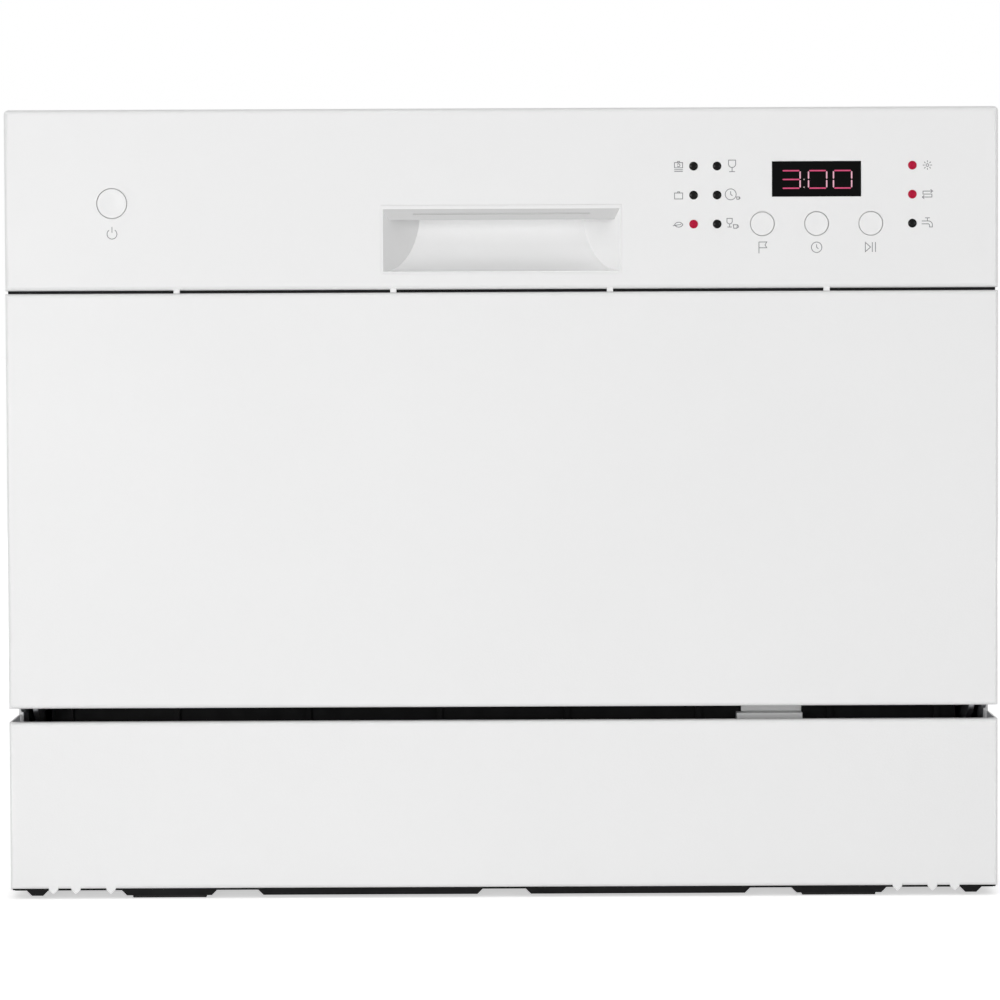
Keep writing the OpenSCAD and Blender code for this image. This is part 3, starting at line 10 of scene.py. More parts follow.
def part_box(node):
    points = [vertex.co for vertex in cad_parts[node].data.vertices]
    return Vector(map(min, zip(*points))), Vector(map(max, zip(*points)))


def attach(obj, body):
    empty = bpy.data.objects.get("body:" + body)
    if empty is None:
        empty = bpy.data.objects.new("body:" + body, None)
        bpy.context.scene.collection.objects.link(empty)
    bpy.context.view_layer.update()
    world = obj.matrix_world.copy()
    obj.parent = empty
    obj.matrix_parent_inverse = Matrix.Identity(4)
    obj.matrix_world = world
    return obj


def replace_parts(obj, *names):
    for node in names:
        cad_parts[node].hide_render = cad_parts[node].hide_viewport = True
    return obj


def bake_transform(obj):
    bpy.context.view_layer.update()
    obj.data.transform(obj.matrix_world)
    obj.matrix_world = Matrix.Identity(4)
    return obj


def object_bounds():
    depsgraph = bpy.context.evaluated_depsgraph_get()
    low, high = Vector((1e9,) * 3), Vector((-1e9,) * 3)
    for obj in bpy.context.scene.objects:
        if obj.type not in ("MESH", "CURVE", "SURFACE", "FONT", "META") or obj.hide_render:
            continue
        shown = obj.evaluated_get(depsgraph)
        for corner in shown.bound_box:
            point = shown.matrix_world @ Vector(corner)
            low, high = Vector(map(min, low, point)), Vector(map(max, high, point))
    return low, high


bl_info = {
    "name": "Countertop Dishwasher",
    "version": (1, 0, 0),
    "blender": (4, 5, 0),
    "location": "View3D > Sidebar > Dishwasher",
    "description": "Finishes and fine pieces for a packed countertop dishwasher",
    "category": "Add Mesh",
}

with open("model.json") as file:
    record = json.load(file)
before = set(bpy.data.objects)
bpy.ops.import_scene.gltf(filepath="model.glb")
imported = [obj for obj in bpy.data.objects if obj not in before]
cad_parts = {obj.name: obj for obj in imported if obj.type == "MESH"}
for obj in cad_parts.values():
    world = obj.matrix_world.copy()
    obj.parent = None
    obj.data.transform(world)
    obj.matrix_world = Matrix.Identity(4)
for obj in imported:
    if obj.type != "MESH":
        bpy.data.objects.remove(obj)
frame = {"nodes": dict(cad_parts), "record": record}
CAD_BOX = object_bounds()
NODES = frame["nodes"]
SLOT_OF = {row["node"]: row["material_slot"] for row in frame["record"]["subparts"]}
BODY_OF = {node: body for body, nodes in frame["record"]["behaviour"]["bodies"].items()
           for node in nodes}
TAU = 2 * math.pi
# The direction across the cabinet, from its left to its right.
ACROSS = np.array((1.0, 0.0, 0.0))


# ---- places read from the frame -----------------------------------------------------------

def middle(node):
    """The middle of a node's box."""
    low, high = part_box(node)
    return (low + high) / 2


FACE_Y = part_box("console")[0].y
WIDTH = CAD_BOX[1].x - CAD_BOX[0].x
# Thickness of the console's front wall.
SHELL_WALL = 0.0025


# ---- settings that a user would change ----------------------------------------------------

def length(name, description, default):
    return bpy.props.FloatProperty(name=name, description=description, default=default,
                                   unit="LENGTH", subtype="DISTANCE", precision=5)


def share(name, description, default):
    return bpy.props.FloatProperty(name=name, description=description, default=default,
                                   min=0, max=1, subtype="FACTOR")


def colour(name, description, default):
    return bpy.props.FloatVectorProperty(name=name, description=description, default=default,
                                         size=3, min=0, max=1, subtype="COLOR")


class DISHWASHER_PG_colours(bpy.types.PropertyGroup):
    """Colours of the finishes, in linear light."""
    enamel: colour("Enamel", "Powder coat of the cabinet and the door", (0.83, 0.83, 0.83))
    shell: colour("Shell", "White moulded plastic of the console", (0.83, 0.83, 0.83))
    # The grip recess is the console's white plastic painted lighter: painted light against the shade inside
    # the recess.
    recess: colour("Recess", "White moulded plastic of the grip recess", (0.97, 0.97, 0.97))
    print_grey: colour("Print", "Printed symbols on the console", (0.22, 0.22, 0.23))
    base: colour("Base", "Black plastic of the base", (0.004, 0.004, 0.0044))
    rubber: colour("Rubber", "Feet and cord gland", (0.014, 0.014, 0.014))
    gasket: colour("Gasket", "Soft rubber of the door's gasket", (0.055, 0.055, 0.06))
    steel: colour("Stainless", "Brushed stainless steel of the tub", (0.52, 0.53, 0.54))
    zinc: colour("Zinc", "Zinc-plated steel brackets and screws", (0.5, 0.51, 0.53))
    wire: colour("Rack", "Nylon coating of the rack's wires", (0.42, 0.44, 0.48))
    grey: colour("Grey plastic", "Polypropylene of the spray arm and the filter", (0.13, 0.14, 0.16))
    pale: colour("Pale plastic", "Milky polypropylene of the softener", (0.66, 0.67, 0.68))
    blue: colour("Blue plastic", "Rinse-aid cap", (0.04, 0.12, 0.33))
    board: colour("Board", "Green glass-epoxy board", (0.01, 0.06, 0.022))
    window: colour("Window", "Smoked acrylic of the display", (0.004, 0.004, 0.004))
    lit: colour("Lit", "Glow of the lit lenses", (0.42, 0.004, 0.035))
    rose: colour("Rose", "Glow of the digits' level segments", (0.7, 0.09, 0.21))
    blush: colour("Blush", "Glow of the digits' upright segments", (0.85, 0.46, 0.57))


class DISHWASHER_PG_sizes(bpy.types.PropertyGroup):
    """Sizes of the fine pieces."""
    print_width: length("Print width", "Width of a printed line", 0.00042)
    print_rise: length("Print rise", "Thickness of the printed ink", 0.00003)
    symbol: length("Symbol", "Height of a printed symbol", 0.0064)
    digit_height: length("Digit height", "Height of a digit of the display", 0.0104)
    digit_width: length("Digit width", "Width of a digit of the display", 0.0108)
    segment: length("Segment", "Width of a segment of a digit", 0.00075)
    window_edge: length("Window edge", "Rounding of the display window", 0.0006)
    button_dish: length("Button dish", "Depth of the hollow in a button's face", 0.0003)
    button_edge: length("Button edge", "Rounding of a button's edge", 0.0005)
    lens_dome: length("Lens dome", "Depth of a lens's rim behind its middle", 0.0004)
    wire_bend: length("Wire bend", "Radius of the bends in the rack's wires", 0.007)
    spring_wire: length("Spring wire", "Thickness of the hinge springs' wire", 0.0018)


class DISHWASHER_PG_stage(bpy.types.PropertyGroup):
    """The camera and the lamps."""
    distance: length("Camera distance", "From the camera to the door's face", 2.35)
    fill: share("Fill", "Share of the picture's width that the cabinet fills", 0.9915)
    pitch: bpy.props.FloatProperty(name="Pitch", description="Downward tilt of the camera",
                                   default=math.radians(2.5), subtype="ANGLE", unit="ROTATION")
    roll: bpy.props.FloatProperty(name="Roll", description="Roll of the camera",
                                  default=math.radians(0.25), subtype="ANGLE", unit="ROTATION")
    aim_x: length("Aim X", "Point on the door's face in the picture's middle", -0.0014)
    aim_z: length("Aim Z", "Height of the point in the picture's middle", 0.2212)
    daylight: share("Daylight", "Strength of the even white light", 0.46)
    key: bpy.props.FloatProperty(name="Key", description="Power of the large lamp at the front left",
                                 default=53.2, min=0, unit="POWER")
    floor: share("Floor", "Whiteness of the floor", 0.88)
    floor_lift: share("Floor lift", "White added to the floor as it is seen", 0.55)


def settings():
    scene = bpy.context.scene
    return scene.dishwasher_colours, scene.dishwasher_sizes, scene.dishwasher_stage


# ---- surfaces ------------------------------------------------------------------------------

# A new piece's edge stays sharp where its faces meet at more than this angle.
CREASE_FROM = math.radians(35)
# A corner of a path counts as straight from this half angle on.
STRAIGHT_FROM = math.radians(89.9)
# The largest share of a path's side that the arc at one of its ends may take up.
BEND_SHARE = 0.48
# The largest widening of a printed line at a mitre is one over this.
MITRE_LIMIT = 0.35
# Points of a printed line that are nearer to each other than this count as one.
SAME_POINT = 1e-6


def grid_faces(rows, columns, wrap_rows, wrap_columns):
    """Quads of a grid of points, row by row; a wrapped side joins its last line to its first."""
    u, v = np.meshgrid(np.arange(rows if wrap_rows else rows - 1),
                       np.arange(columns if wrap_columns else columns - 1), indexing="ij")
    u_next, v_next = (u + 1) % rows, (v + 1) % columns
    corners = [u * columns + v, u * columns + v_next, u_next * columns + v_next, u_next * columns + v]
    return np.stack(corners, axis=-1).reshape(-1, 4)


def fan_volume(points, ring):
    """Six times the volume between the origin and a polygon, split into a fan from its first corner."""
    return float((np.cross(points[ring[1:-1]], points[ring[2:]]) @ points[ring[0]]).sum())


def unit(vectors):
    return vectors / np.linalg.norm(vectors, axis=-1, keepdims=True)


def solid_grid(points, wrap_rows=False):
    """A closed tube over a grid of points (rows, columns, 3): its columns wrap, and its first and last rows
    are capped unless its rows wrap too. Returns points and faces that point outwards."""
    rows, columns, _ = points.shape
    flat = points.reshape(-1, 3)
    quads = grid_faces(rows, columns, wrap_rows, True)
    a, b, c, d = (flat[quads[:, i]] for i in range(4))
    volume = float((a * np.cross(b, c)).sum() + (a * np.cross(c, d)).sum())
    caps = []
    if not wrap_rows:
        first = np.arange(columns)
        caps = [first, (rows - 1) * columns + first[::-1]]
        volume += sum(fan_volume(flat, cap) for cap in caps)
    step = -1 if volume < 0 else 1
    return flat, quads[:, ::step].tolist() + [cap[::step].tolist() for cap in caps]


def add_piece(name, body, finish, parts):
    """One object from a list of (points, faces), which rides on a body, or on none where body is None."""
    points, faces, start = [], [], 0
    for flat, polygons in parts:
        points.append(flat)
        faces.extend([[i + start for i in polygon] for polygon in polygons])
        start += len(flat)
    mesh = bpy.data.meshes.new(name)
    mesh.from_pydata(np.concatenate(points), [], faces)
    mesh.validate()
    mesh.shade_smooth()
    mesh.set_sharp_from_angle(angle=CREASE_FROM)
    mesh.materials.append(finish)
    piece = bpy.data.objects.new(name, mesh)
    bpy.context.scene.collection.objects.link(piece)
    if body:
        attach(piece, body)
    return piece


def tube(path, radius, plane, sides=10, closed=False):
    """A round wire along a path: at each point a circle in the plane across the path. One axis of the circle
    is across both the path and the direction plane, and the other is across the path and the first axis."""
    path = np.asarray(path, float)
    ahead = np.roll(path, -1, axis=0) - path
    behind = path - np.roll(path, 1, axis=0)
    if not closed:
        ahead[-1], behind[0] = behind[-1], ahead[0]
    along = unit(unit(ahead) + unit(behind))
    third = unit(np.cross(along, np.asarray(plane, float)))
    across = np.cross(third, along)
    angle = np.arange(sides) * TAU / sides
    radius = np.broadcast_to(np.asarray(radius, float), (len(path),))[:, None, None]
    ring = across[:, None] * np.cos(angle)[None, :, None] + third[:, None] * np.sin(angle)[None, :, None]
    return solid_grid(path[:, None] + ring * radius, closed)


def bent_path(corners, bend_radius, steps=6, closed=False):
    """A line through corners, where each inner corner is an arc of the bend's radius."""
    corners = np.asarray(corners, float)
    n = len(corners)
    out = [] if closed else [corners[0]]
    for i in range(n) if closed else range(1, n - 1):
        point, before, after = corners[i], corners[i - 1], corners[(i + 1) % n]
        back, on = before - point, after - point
        back_length, on_length = np.linalg.norm(back), np.linalg.norm(on)
        back, on = back / back_length, on / on_length
        half = math.acos(np.clip(np.dot(back, on), -1, 1)) / 2
        if half > STRAIGHT_FROM:
            out.append(point)
            continue
        reach = min(bend_radius / math.tan(half), back_length * BEND_SHARE, on_length * BEND_SHARE)
        radius = reach * math.tan(half)
        inner = (back + on) / np.linalg.norm(back + on)
        centre = point + inner * radius / math.sin(half)
        first = (point + back * reach - centre) / radius
        last = (point + on * reach - centre) / radius
        turn = math.pi - 2 * half
        for s in np.linspace(0, 1, steps + 1):
            blend = first * math.sin((1 - s) * turn) + last * math.sin(s * turn)
            out.append(centre + radius * blend / math.sin(turn))
    if not closed:
        out.append(corners[-1])
    return np.array(out)


def rings(section, centre, steps):
    """A circle about the Y axis through centre for each (radius, y) of a section: centre + radius (cos, sin)
    in X and Z."""
    section = np.asarray(section, float)
    angle = np.arange(steps) * TAU / steps
    radius, y = section[:, 0:1], section[:, 1:2]
    return np.stack([centre[0] + radius * np.cos(angle), y + 0 * angle,
                     centre[2] + radius * np.sin(angle)], axis=-1)


def turned(profile, centre, steps=48):
    """A closed turned shape about the Y axis through centre: profile rows of (radius, y) from one pole to the
    other, where the end rows are small flat discs."""
    return solid_grid(rings(profile, centre, steps))


def collar(centre, half, outer, inner, steps=28):
    """A ring about the Y axis through centre: a rectangle with its outer corners cut off, turned round it."""
    cut = (outer - inner) * 0.2
    section = np.array([(inner, -half), (outer - cut, -half), (outer, cut - half), (outer, half - cut),
                        (outer - cut, half), (inner, half)])
    return solid_grid(rings(section + (0, centre[1]), centre, steps), True)


def along_x(made):
    """A shape that runs along Y, with X and Y exchanged, so that it runs along X."""
    points, faces = made
    return points[:, [1, 0, 2]], [face[::-1] for face in faces]


def arc(centre, radius, start, end, steps=24):
    """Points on an arc in the console's face, with angles in degrees from +X towards +Z."""
    angle = np.radians(np.linspace(start, end, steps + 1))
    return np.stack([centre[0] + radius * np.cos(angle), centre[1] + radius * np.sin(angle)], axis=-1)


def stroke(points, width, front, back, closed=False):
    """A flat line of ink: the line's left and right edges are the path moved sideways by half the width along
    the mitre, at the depths front and back."""
    points = np.asarray(points, float)
    step = np.linalg.norm(points - np.roll(points, 1, axis=0), axis=1)
    step[0] = step[0] if closed else 1
    points = points[step > SAME_POINT]
    ahead = np.roll(points, -1, axis=0) - points
    behind = points - np.roll(points, 1, axis=0)
    if not closed:
        ahead[-1], behind[0] = behind[-1], ahead[0]
    ahead /= np.linalg.norm(ahead, axis=1)[:, None]
    behind /= np.linalg.norm(behind, axis=1)[:, None]
    normal_ahead = np.stack([-ahead[:, 1], ahead[:, 0]], axis=-1)
    normal_behind = np.stack([-behind[:, 1], behind[:, 0]], axis=-1)
    mitre = normal_ahead + normal_behind
    mitre /= np.linalg.norm(mitre, axis=1)[:, None]
    half = width / 2 / np.clip(np.einsum("ij,ij->i", mitre, normal_ahead), MITRE_LIMIT, 1)[:, None]
    left, right = points + mitre * half, points - mitre * half

    def at(edge, y):
        return np.stack([edge[:, 0], np.full(len(edge), y), edge[:, 1]], axis=-1)

    section = np.stack([at(left, front), at(right, front), at(right, back), at(left, back)], axis=1)
    return solid_grid(section, closed)


def prism(outline, front, back, edge=0.0):
    """A flat plate along Y from an outline in X and Z; its front edge is rounded by drawing the outline in
    towards its middle, in a quarter circle of radius edge."""
    outline = np.asarray(outline, float)
    centre = outline.mean(axis=0)
    reach = np.linalg.norm(outline - centre, axis=1)[:, None]
    angles = np.linspace(0, math.pi / 2, 5) if edge else [math.pi / 2]
    rows = []
    for a in angles:
        drawn = outline - (outline - centre) / reach * edge * (1 - math.sin(a))
        y = front + edge * (1 - math.cos(a))
        rows.append(np.stack([drawn[:, 0], np.full(len(outline), y), drawn[:, 1]], axis=-1))
    rows.append(np.stack([outline[:, 0], np.full(len(outline), back), outline[:, 1]], axis=-1))
    return solid_grid(np.array(rows))


def round_outline(x, z, radius, steps=6):
    """A rectangle with round corners, as points in X and Z."""
    corners = [(x[1] - radius, z[1] - radius, 0), (x[0] + radius, z[1] - radius, 90),
               (x[0] + radius, z[0] + radius, 180), (x[1] - radius, z[0] + radius, 270)]
    return np.concatenate([arc((cx, cz), radius, a, a + 90, steps) for cx, cz, a in corners])


# ---- finishes ------------------------------------------------------------------------------

class Finish:
    """A material that is built node by node around one Principled shader."""

    def __init__(self, name, base, roughness, metallic=0.0):
        self.material = bpy.data.materials.new(name)
        self.material.use_nodes = True
        self.tree = self.material.node_tree
        self.shader = self.tree.nodes["Principled BSDF"]
        self.base = (*base, 1)
        self.roughness = roughness
        self.shader.inputs["Base Color"].default_value = self.base
        self.shader.inputs["Roughness"].default_value = roughness
        self.shader.inputs["Metallic"].default_value = metallic

    def node(self, kind, **inputs):
        made = self.tree.nodes.new(kind)
        for name, value in inputs.items():
            made.inputs[name].default_value = value
        return made

    def join(self, source, output, target, socket):
        self.tree.links.new(source.outputs[output], target.inputs[socket])

    def place(self, stretch=(1, 1, 1)):
        """Object coordinates, stretched along each axis."""
        coordinates = self.node("ShaderNodeTexCoord")
        mapping = self.node("ShaderNodeMapping", Scale=stretch)
        self.join(coordinates, "Object", mapping, "Vector")
        return mapping

    def noise(self, scale, detail=3.0, stretch=(1, 1, 1), rough=0.5):
        made = self.node("ShaderNodeTexNoise", Scale=scale, Detail=detail, Roughness=rough)
        self.join(self.place(stretch), "Vector", made, "Vector")
        return made

    def spread(self, source, low, high, output="Fac"):
        """Maps a noise's middle range onto low to high."""
        made = self.node("ShaderNodeMapRange")
        made.inputs["From Min"].default_value = 0.3
        made.inputs["From Max"].default_value = 0.7
        made.inputs["To Min"].default_value = low
        made.inputs["To Max"].default_value = high
        self.join(source, output, made, "Value")
        return made

    def blend(self, low, high, source, output, socket):
        """Leads a mix of two colours, by another node's value, into one of the shader's sockets."""
        mix = self.tree.nodes.new("ShaderNodeMix")
        mix.data_type = "RGBA"
        mix.inputs["A"].default_value = low
        mix.inputs["B"].default_value = high
        self.join(source, output, mix, "Factor")
        self.join(mix, "Result", self.shader, socket)
        return self

    def vary_roughness(self, scale, amount, stretch=(1, 1, 1)):
        """Makes the roughness uneven, by an amount up and down."""
        noise = self.noise(scale, 4.0, stretch)
        spread = self.spread(noise, self.roughness - amount, self.roughness + amount)
        self.join(spread, "Result", self.shader, "Roughness")
        return self

    def vary_colour(self, scale, darker, stretch=(1, 1, 1)):
        """Blends the base with a slightly darker shade of itself."""
        shade = [channel * (1 - darker) for channel in self.base[:3]]
        spread = self.spread(self.noise(scale, 4.0, stretch), 0, 1)
        return self.blend(self.base, (*shade, 1), spread, "Result", "Base Color")

    def shade_by(self, attribute):
        """Multiplies the base colour by a value that the mesh carries on its faces: painted shade where the
        value is below one.
        """
        carried = self.node("ShaderNodeAttribute")
        carried.attribute_name = attribute
        return self.blend((0, 0, 0, 1), self.base, carried, "Fac", "Base Color")

    def bump(self, scale, height, strength=1.0, detail=2.0, stretch=(1, 1, 1)):
        """Roughens the surface by a noise, from an orange peel on paint to the brushing of steel."""
        bump = self.node("ShaderNodeBump", Strength=strength, Distance=height)
        self.join(self.noise(scale, detail, stretch), "Fac", bump, "Height")
        self.join(bump, "Normal", self.shader, "Normal")
        return self

    def set(self, **inputs):
        """Sets sockets of the shader, whose names have underscores for spaces."""
        for name, value in inputs.items():
            self.shader.inputs[name.replace("_", " ")].default_value = value
        return self


def finishes():
    """The finish of each material slot, made once."""
    tint = settings()[0]
    made = {
        "white_enamel": Finish("powder_coat", tint.enamel, 0.42)
        .vary_roughness(60, 0.05).vary_colour(9, 0.012).bump(900, 0.00012, 0.35)
        .set(Coat_Weight=0.15, Coat_Roughness=0.25),
        "white_plastic": Finish("moulded_shell", tint.shell, 0.38)
        .vary_roughness(40, 0.05).vary_colour(7, 0.01).bump(1600, 0.00004, 0.3),
        "black_plastic": Finish("black_base", tint.base, 0.55).vary_roughness(90, 0.1)
        .vary_colour(30, 0.3).bump(1300, 0.0001, 0.5).set(Specular_IOR_Level=0.12),
        "foot_rubber": Finish("foot_rubber", tint.rubber, 0.85).vary_roughness(120, 0.08)
        .vary_colour(60, 0.3).bump(700, 0.00015, 0.6),
        "gasket_rubber": Finish("gasket_rubber", tint.gasket, 0.62).vary_roughness(80, 0.1)
        .vary_colour(40, 0.25).bump(900, 0.00008, 0.5),
        "stainless": Finish("brushed_stainless", tint.steel, 0.3, 1.0)
        .vary_roughness(6, 0.07, (1, 60, 60)).vary_colour(5, 0.08, (1, 50, 50))
        .bump(14, 0.00003, 0.35, 4.0, (1, 90, 90)),
        "zinc_steel": Finish("zinc_plate", tint.zinc, 0.36, 1.0).vary_roughness(50, 0.1)
        .vary_colour(25, 0.15).bump(400, 0.00005, 0.4),
        "spring_steel": Finish("spring_steel", tint.zinc, 0.28, 1.0).vary_roughness(300, 0.08)
        .vary_colour(200, 0.2).bump(1500, 0.00002, 0.4),
        "wire_coating": Finish("wire_coating", tint.wire, 0.34).vary_roughness(120, 0.06)
        .vary_colour(60, 0.06).bump(500, 0.00006, 0.3).set(Coat_Weight=0.3, Coat_Roughness=0.2),
        "grey_plastic": Finish("grey_plastic", tint.grey, 0.46).vary_roughness(90, 0.07)
        .vary_colour(40, 0.12).bump(1400, 0.00005, 0.5),
        "pale_plastic": Finish("pale_plastic", tint.pale, 0.4).vary_roughness(60, 0.07)
        .vary_colour(30, 0.05).bump(900, 0.00005, 0.4).set(Subsurface_Weight=0.15, Subsurface_Scale=0.004),
        "blue_plastic": Finish("blue_plastic", tint.blue, 0.36).vary_roughness(90, 0.06)
        .vary_colour(40, 0.12).bump(1400, 0.00004, 0.4),
        "hose_rubber": Finish("hose_rubber", tint.rubber, 0.6).vary_roughness(90, 0.08)
        .vary_colour(30, 0.3).bump(500, 0.00008, 0.5),
        "insulation": Finish("bitumen_mat", tint.rubber, 0.8).vary_roughness(70, 0.1)
        .vary_colour(20, 0.4).bump(260, 0.0003, 0.7),
        "window_black": Finish("smoked_acrylic", tint.window, 0.12).vary_roughness(30, 0.04)
        .vary_colour(20, 0.4).bump(60, 0.00001, 0.2).set(Specular_IOR_Level=0.04),
        "lens": Finish("dark_lens", tint.window, 0.14).vary_roughness(300, 0.05)
        .vary_colour(100, 0.4).bump(900, 0.00002, 0.3).set(Specular_IOR_Level=0.12),
        "board_green": Finish("glass_epoxy", tint.board, 0.4).vary_roughness(200, 0.08)
        .vary_colour(150, 0.35).bump(1200, 0.00005, 0.4),
    }
    return {slot_name: finish.material for slot_name, finish in made.items()}


def glowing(name, base, strength):
    """A lit lens or segment: dark by itself, with its own light a little uneven over its face."""
    unlit, dimmer = [0.04 * c for c in base], [0.8 * c for c in base]
    finish = Finish(name, unlit, 0.25).vary_roughness(500, 0.05).bump(900, 0.00002, 0.3)
    finish.set(Emission_Strength=strength, Specular_IOR_Level=0.1)
    spread = finish.spread(finish.noise(400), 0, 1)
    return finish.blend((*base, 1), (*dimmer, 1), spread, "Result", "Emission Color").material


def finish_of(slot_name):
    """The material of a slot, once the finishes are made."""
    return bpy.data.materials[bpy.context.scene["dishwasher_finish_" + slot_name]]


# ---- operators -----------------------------------------------------------------------------

class DISHWASHER_OT_finishes(bpy.types.Operator):
    """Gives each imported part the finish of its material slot"""
    bl_idname = "dishwasher.finishes"
    bl_label = "Finishes"

    def execute(self, context):
        made = finishes()
        for slot_name, material in made.items():
            context.scene["dishwasher_finish_" + slot_name] = material.name
        for node, part in NODES.items():
            if not part.material_slots:
                part.data.materials.append(made[SLOT_OF[node]])
            for slot in part.material_slots:
                slot.material = made[SLOT_OF[node]]
        return {"FINISHED"}


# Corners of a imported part's loose triangles that are nearer than this are merged.
MERGE_UNDER = 2e-6
# Neighbours that meet at less than this angle are joined into one flat face.
FLAT_UNDER = math.radians(0.4)
# A rounded copy's edge is shaded sharp where its faces meet at more than this angle.
SHARP_FROM = math.radians(30)
# Faces that meet at more than this angle get a rounded edge between them.
BEVEL_FROM = math.radians(38)
# Rounding of the edges of the moulded and pressed parts, in metres.
EDGE_ROUNDING = {
    "console": 0.0004, "handle_recess": 0.00015, "handle_lever": 0.0004, "frame_clip": 0.0005,
    "kick_plate": 0.0003, "door_panel": 0.0003, "worktop": 0.0003, "door_liner": 0.0008,
    "base_tray": 0.0004, "rubber_feet": 0.0004, "dispenser_body": 0.0006, "dispenser_lid": 0.0006,
    "rinse_aid_cap": 0.0006, "cutlery_basket": 0.0004, "filter_core": 0.0006,
    "overflow_float": 0.0008, "wash_pump": 0.0008, "drain_pump": 0.0008, "softener_tank": 0.001,
    "air_break": 0.0006, "drain_outlet": 0.0004, "cord_gland": 0.0005, "wheels_front": 0.0005,
    "wheels_rear": 0.0005, "hinge_brackets": 0.0003, "hinge_arms": 0.0003, "latch_hook": 0.0004,
    "latch_strike": 0.0003, "latch_housing": 0.0004, "rear_panel": 0.0002, "rack_rails": 0.0003,
}


def spare_edges(mesh, low, high):
    """Weights each edge for the Bevel: one where its two faces meet at more than BEVEL_FROM, and nought
    elsewhere and where both its ends lie in the box from low to high."""
    work = bmesh.new()
    work.from_mesh(mesh)
    weight = work.edges.layers.float.new("bevel_weight_edge")
    for edge in work.edges:
        ends = np.array([end.co for end in edge.verts])
        inside = np.all((ends > low) & (ends < high))
        edge[weight] = float(edge.calc_face_angle(0) > BEVEL_FROM and not inside)
    work.to_mesh(mesh)
    work.free()


def rounded_copy(node, radius):
    """A copy of a node whose loose triangles are merged and whose flat neighbours are joined, under a Bevel
    that rounds every edge sharper than a tessellated curve's."""
    source = NODES[node]
    mesh = source.data.copy()
    mesh.name = node + "_rounded"
    work = bmesh.new()
    work.from_mesh(mesh)
    bmesh.ops.remove_doubles(work, verts=work.verts, dist=MERGE_UNDER)
    bmesh.ops.dissolve_limit(work, angle_limit=FLAT_UNDER, verts=work.verts, edges=work.edges)
    work.to_mesh(mesh)
    work.free()
    mesh.shade_smooth()
    mesh.set_sharp_from_angle(angle=SHARP_FROM)
    piece = bpy.data.objects.new(node + "_rounded", mesh)
    bpy.context.scene.collection.objects.link(piece)
    bevel = piece.modifiers.new("edges", "BEVEL")
    bevel.width = radius
    bevel.segments = 2
    bevel.limit_method = "ANGLE"
    bevel.angle_limit = BEVEL_FROM
    flats = piece.modifiers.new("flats", "WEIGHTED_NORMAL")
    flats.mode = "FACE_AREA"
    flats.weight = 100
    flats.keep_sharp = True
    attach(piece, BODY_OF[node])
    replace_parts(piece, node)
    return piece


# The grip recess. Its height is that of its upper edge, depths are from the console's face and drops from the
# upper edge. The lip is the slanted strip under that edge, between its two ends.
GRIP_TOP = 0.3835
LIP_HALF = 0.0657
LIP_DEPTH = 0.0072
LIP_DROP = 0.0052
# The corner behind the lip's upper edge, which stays where it is.
ROOT_DEPTH = 0.0065
ROOT_DROP = 0.001
# How far the lip is drawn down at its upper edge, and how much more for each metre below that edge.
LIP_LOWERED = 0.0011
LIP_STRETCH = 0.18
# The lip's faces once it is drawn down, and the seam along them.
STRIP_HALF = 0.066
STRIP_DEPTH = 0.008
STRIP_DROP = 0.0085
SEAM_HALF = 0.05
SEAM_DEPTH = 0.0031
SEAM_DROPS = (0.002, 0.006)
# Shares of the recess's colour: painted shade on the faces that look to the right, on the lip and in its
# seam;
# on the rim, a share that brings the lightened recess colour back to the console's own white.
PAINTED_SHADE_LEFT_WALL = 0.85
PAINTED_SHADE_LIP = 0.66
PAINTED_SHADE_SEAM = 0.3
SHADE_RIM = 0.856
# A face looks along an axis where its normal's share along that axis is above the first of these, and
# squarely along it above the second.
TOWARDS = 0.6
SQUARELY = 0.9
# Room between a place and a limit that is set beside it.
NEARLY = 0.0001
# Room round the grip's hole, and above its upper edge, in which the console's edges stay as they are.
SPARED_ROOM = 0.0003
SPARED_ABOVE = 0.0013


def read_rows(collection, name):
    """A mesh's places or directions as rows of three: vertices' co, polygons' center or normal."""
    flat = np.empty(len(collection) * 3)
    collection.foreach_get(name, flat)
    return flat.reshape(-1, 3)


def lower_lip(mesh):
    """Draws the slanted lip under the recess's top edge down, more at its lower edge than at its upper one:
    z - (LIP_LOWERED + LIP_STRETCH (GRIP_TOP - z)) for the lip's corners."""
    places = read_rows(mesh.vertices, "co")
    x, y, z = places.T
    lip = (abs(x) < LIP_HALF) & (y < FACE_Y + LIP_DEPTH)
    lip &= (z > GRIP_TOP - LIP_DROP) & (z < GRIP_TOP + NEARLY)
    lip &= ~((y > FACE_Y + ROOT_DEPTH) & (z > GRIP_TOP - ROOT_DROP))
    places[lip, 2] -= LIP_LOWERED + LIP_STRETCH * (GRIP_TOP - z[lip])
    mesh.vertices.foreach_set("co", places.ravel())
    mesh.update()


def paint_recess_shade(mesh):
    """Writes each face's share of the recess's colour: painted shade on the left end wall, the lip and its
    seam, and on the rim a share that brings the lightened colour back to the console's own white.
    """
    x, y, z = read_rows(mesh.polygons, "center").T
    right, ahead, up = read_rows(mesh.polygons, "normal").T
    shades = np.ones(len(x))
    shades[right > TOWARDS] = PAINTED_SHADE_LEFT_WALL
    strip = (z > GRIP_TOP - STRIP_DROP) & (abs(x) < STRIP_HALF) & (y < FACE_Y + STRIP_DEPTH)
    shades[strip & (abs(right) < TOWARDS)] = PAINTED_SHADE_LIP
    seam = strip & (abs(up) > SQUARELY) & (abs(x) < SEAM_HALF) & (y < FACE_Y + SEAM_DEPTH)
    seam &= (z < GRIP_TOP - SEAM_DROPS[0]) & (z > GRIP_TOP - SEAM_DROPS[1])
    shades[seam] = PAINTED_SHADE_SEAM
    shades[(ahead < -SQUARELY) & (y < FACE_Y + 2 * NEARLY)] = SHADE_RIM
    mesh.attributes.new("shade", "FLOAT", "FACE").data.foreach_set("value", shades)


